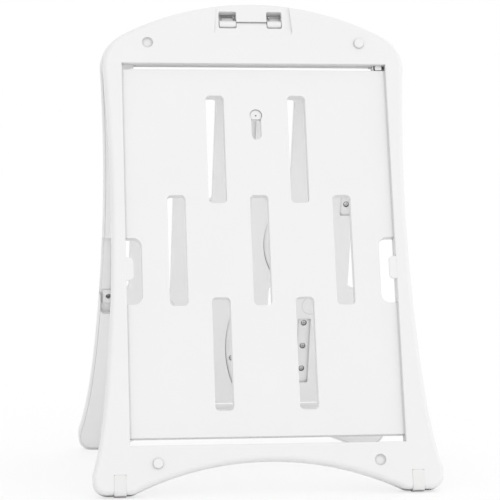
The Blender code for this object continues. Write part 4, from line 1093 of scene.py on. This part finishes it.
for side, label, bush_body in ((-1, "left", "rear_leaf"), (1, "right", "front_leaf")):
    bm = bmesh.new()
    turned_into(bm, rounded_bar(*sorted(side * x for x in PIN_SPAN), PIN_RADIUS, 0.6))
    pin = finish_mesh(add_object("pin", bm), "hinge_pin_" + label + "_fine", STEEL_LOOK)
    put(pin, "hinge_pin_" + label, FRONT_PLACE, "front_leaf")
    x0, x1 = sorted(side * x for x in BUSH_SPAN)
    bm = bmesh.new()
    turned_into(bm, rounded_bar(x0, x1, BUSH_RADIUS, 0.5))
    bush = add_object("bush", bm)
    bm = bmesh.new()
    turned_into(bm, [(x0 - OVER, PIN_BORE_RADIUS), (x1 + OVER, PIN_BORE_RADIUS)])
    cut(bush, add_object("bore", bm))
    finish_mesh(bush, "hinge_bush_" + label + "_fine", FITTING_LOOK)
    put(bush, "hinge_bush_" + label, FRONT_PLACE, bush_body)


# ---------------------------------------------------------------- floor, light and camera

FLOOR_GLOW = 0.6


def floor_material():
    """White ground that shows the camera only a part of its shadows."""
    made = bpy.data.materials.new("pale_floor")
    made.use_nodes = True
    nodes = made.node_tree.nodes
    links = made.node_tree.links
    shader = nodes["Principled BSDF"]
    shader.inputs["Base Color"].default_value = (0.92, 0.92, 0.92, 1.0)
    shader.inputs["Roughness"].default_value = 1.0
    shader.inputs["Specular IOR Level"].default_value = 0.0
    glow = nodes.new("ShaderNodeEmission")
    share = nodes.new("ShaderNodeMath")
    share.operation = "MULTIPLY"
    share.inputs[1].default_value = FLOOR_GLOW
    seen = nodes.new("ShaderNodeLightPath")
    links.new(seen.outputs["Is Camera Ray"], share.inputs[0])
    mix = nodes.new("ShaderNodeMixShader")
    links.new(share.outputs["Value"], mix.inputs["Fac"])
    links.new(shader.outputs["BSDF"], mix.inputs[1])
    links.new(glow.outputs["Emission"], mix.inputs[2])
    links.new(mix.outputs["Shader"], nodes["Material Output"].inputs["Surface"])
    return made


bm = bmesh.new()
bmesh.ops.create_circle(bm, cap_ends=True, segments=64, radius=40.0)
floor = add_object("floor", bm)
floor.data.materials.append(floor_material())

SKY_BASE = 0.58
SKY_LOBES = (
    ((0.0, 0.0, 1.0), 0.45),
    ((0.0, -1.0, 0.0), 0.8),
    ((0.0, 1.0, 0.0), 0.64),
    ((-1.0, 0.0, 0.0), 0.15),
    ((1.0, 0.0, 0.0), 0.75),
)


def studio_world():
    """Soft light from all round, a little stronger from some sides, against a plain white background."""
    world = bpy.data.worlds.new("studio")
    world.use_nodes = True
    nodes = world.node_tree.nodes
    links = world.node_tree.links
    where = nodes.new("ShaderNodeTexCoord")

    def math_node(operation, first, second):
        made = nodes.new("ShaderNodeMath")
        made.operation = operation
        for socket, value in zip(made.inputs, (first, second)):
            if isinstance(value, float):
                socket.default_value = value
            else:
                links.new(value, socket)
        return made.outputs["Value"]

    total = math_node("ADD", SKY_BASE, 0.0)
    for direction, strength in SKY_LOBES:
        facing = nodes.new("ShaderNodeVectorMath")
        facing.operation = "DOT_PRODUCT"
        facing.inputs[1].default_value = direction
        links.new(where.outputs["Generated"], facing.inputs[0])
        lobe = math_node("POWER", math_node("MAXIMUM", facing.outputs["Value"], 0.0), 2.0)
        total = math_node("ADD", total, math_node("MULTIPLY", lobe, strength))
    seen = nodes.new("ShaderNodeLightPath")
    lit = nodes["Background"]
    links.new(total, lit.inputs["Strength"])
    plain = nodes.new("ShaderNodeBackground")
    mix = nodes.new("ShaderNodeMixShader")
    links.new(seen.outputs["Is Camera Ray"], mix.inputs["Fac"])
    links.new(lit.outputs["Background"], mix.inputs[1])
    links.new(plain.outputs["Background"], mix.inputs[2])
    links.new(mix.outputs["Shader"], nodes["World Output"].inputs["Surface"])
    lit.inputs["Color"].default_value = (1.0, 1.0, 1.0, 1.0)
    plain.inputs["Color"].default_value = (1.0, 1.0, 1.0, 1.0)
    return world


bpy.context.scene.world = studio_world()

INNER_FILL = 0.5
INNER_FILL_SIZE = (0.56, 0.84)
INNER_FILL_AT = (0.0, 585.0, -8.0)
fill_data = bpy.data.lights.new("inner_fill", "AREA")
fill_data.shape = "RECTANGLE"
fill_data.size, fill_data.size_y = INNER_FILL_SIZE
fill_data.energy = INNER_FILL
fill = bpy.data.objects.new("inner_fill", fill_data)
fill.matrix_world = (FRONT_PLACE @ Matrix.Translation(place(*INNER_FILL_AT))
                     @ Matrix.Rotation(HALF_PI, 4, "X"))
fill.visible_camera = False
bpy.context.scene.collection.objects.link(fill)

CAMERA_FROM_HINGE = Vector((-0.612, -4.665, -0.2635))
CAMERA_YAW = 0.1304
CAMERA_PITCH = -0.0498
CAMERA_ROLL = 0.0023
CAMERA_LENS = 144.9
CAMERA_SENSOR = 36.0
CAMERA_SHIFT = -0.0226
camera_data = bpy.data.cameras.new("camera")
camera_data.lens = CAMERA_LENS
camera_data.sensor_width = CAMERA_SENSOR
camera_data.shift_y = CAMERA_SHIFT
camera = bpy.data.objects.new("camera", camera_data)
forward = Vector((math.sin(CAMERA_YAW) * math.cos(CAMERA_PITCH),
                  math.cos(CAMERA_YAW) * math.cos(CAMERA_PITCH), math.sin(CAMERA_PITCH)))
right = Vector((math.cos(CAMERA_YAW), -math.sin(CAMERA_YAW), 0.0))
above = right.cross(forward)
right, above = (right * math.cos(CAMERA_ROLL) + above * math.sin(CAMERA_ROLL),
                above * math.cos(CAMERA_ROLL) - right * math.sin(CAMERA_ROLL))
camera.matrix_world = Matrix((
    (right.x, above.x, -forward.x, 0.0),
    (right.y, above.y, -forward.y, 0.0),
    (right.z, above.z, -forward.z, 0.0),
    (0.0, 0.0, 0.0, 1.0),
))
camera.matrix_world.translation = HINGE_AT + CAMERA_FROM_HINGE
bpy.context.scene.collection.objects.link(camera)
bpy.context.scene.camera = camera
bpy.context.scene.view_settings.view_transform = "Standard"
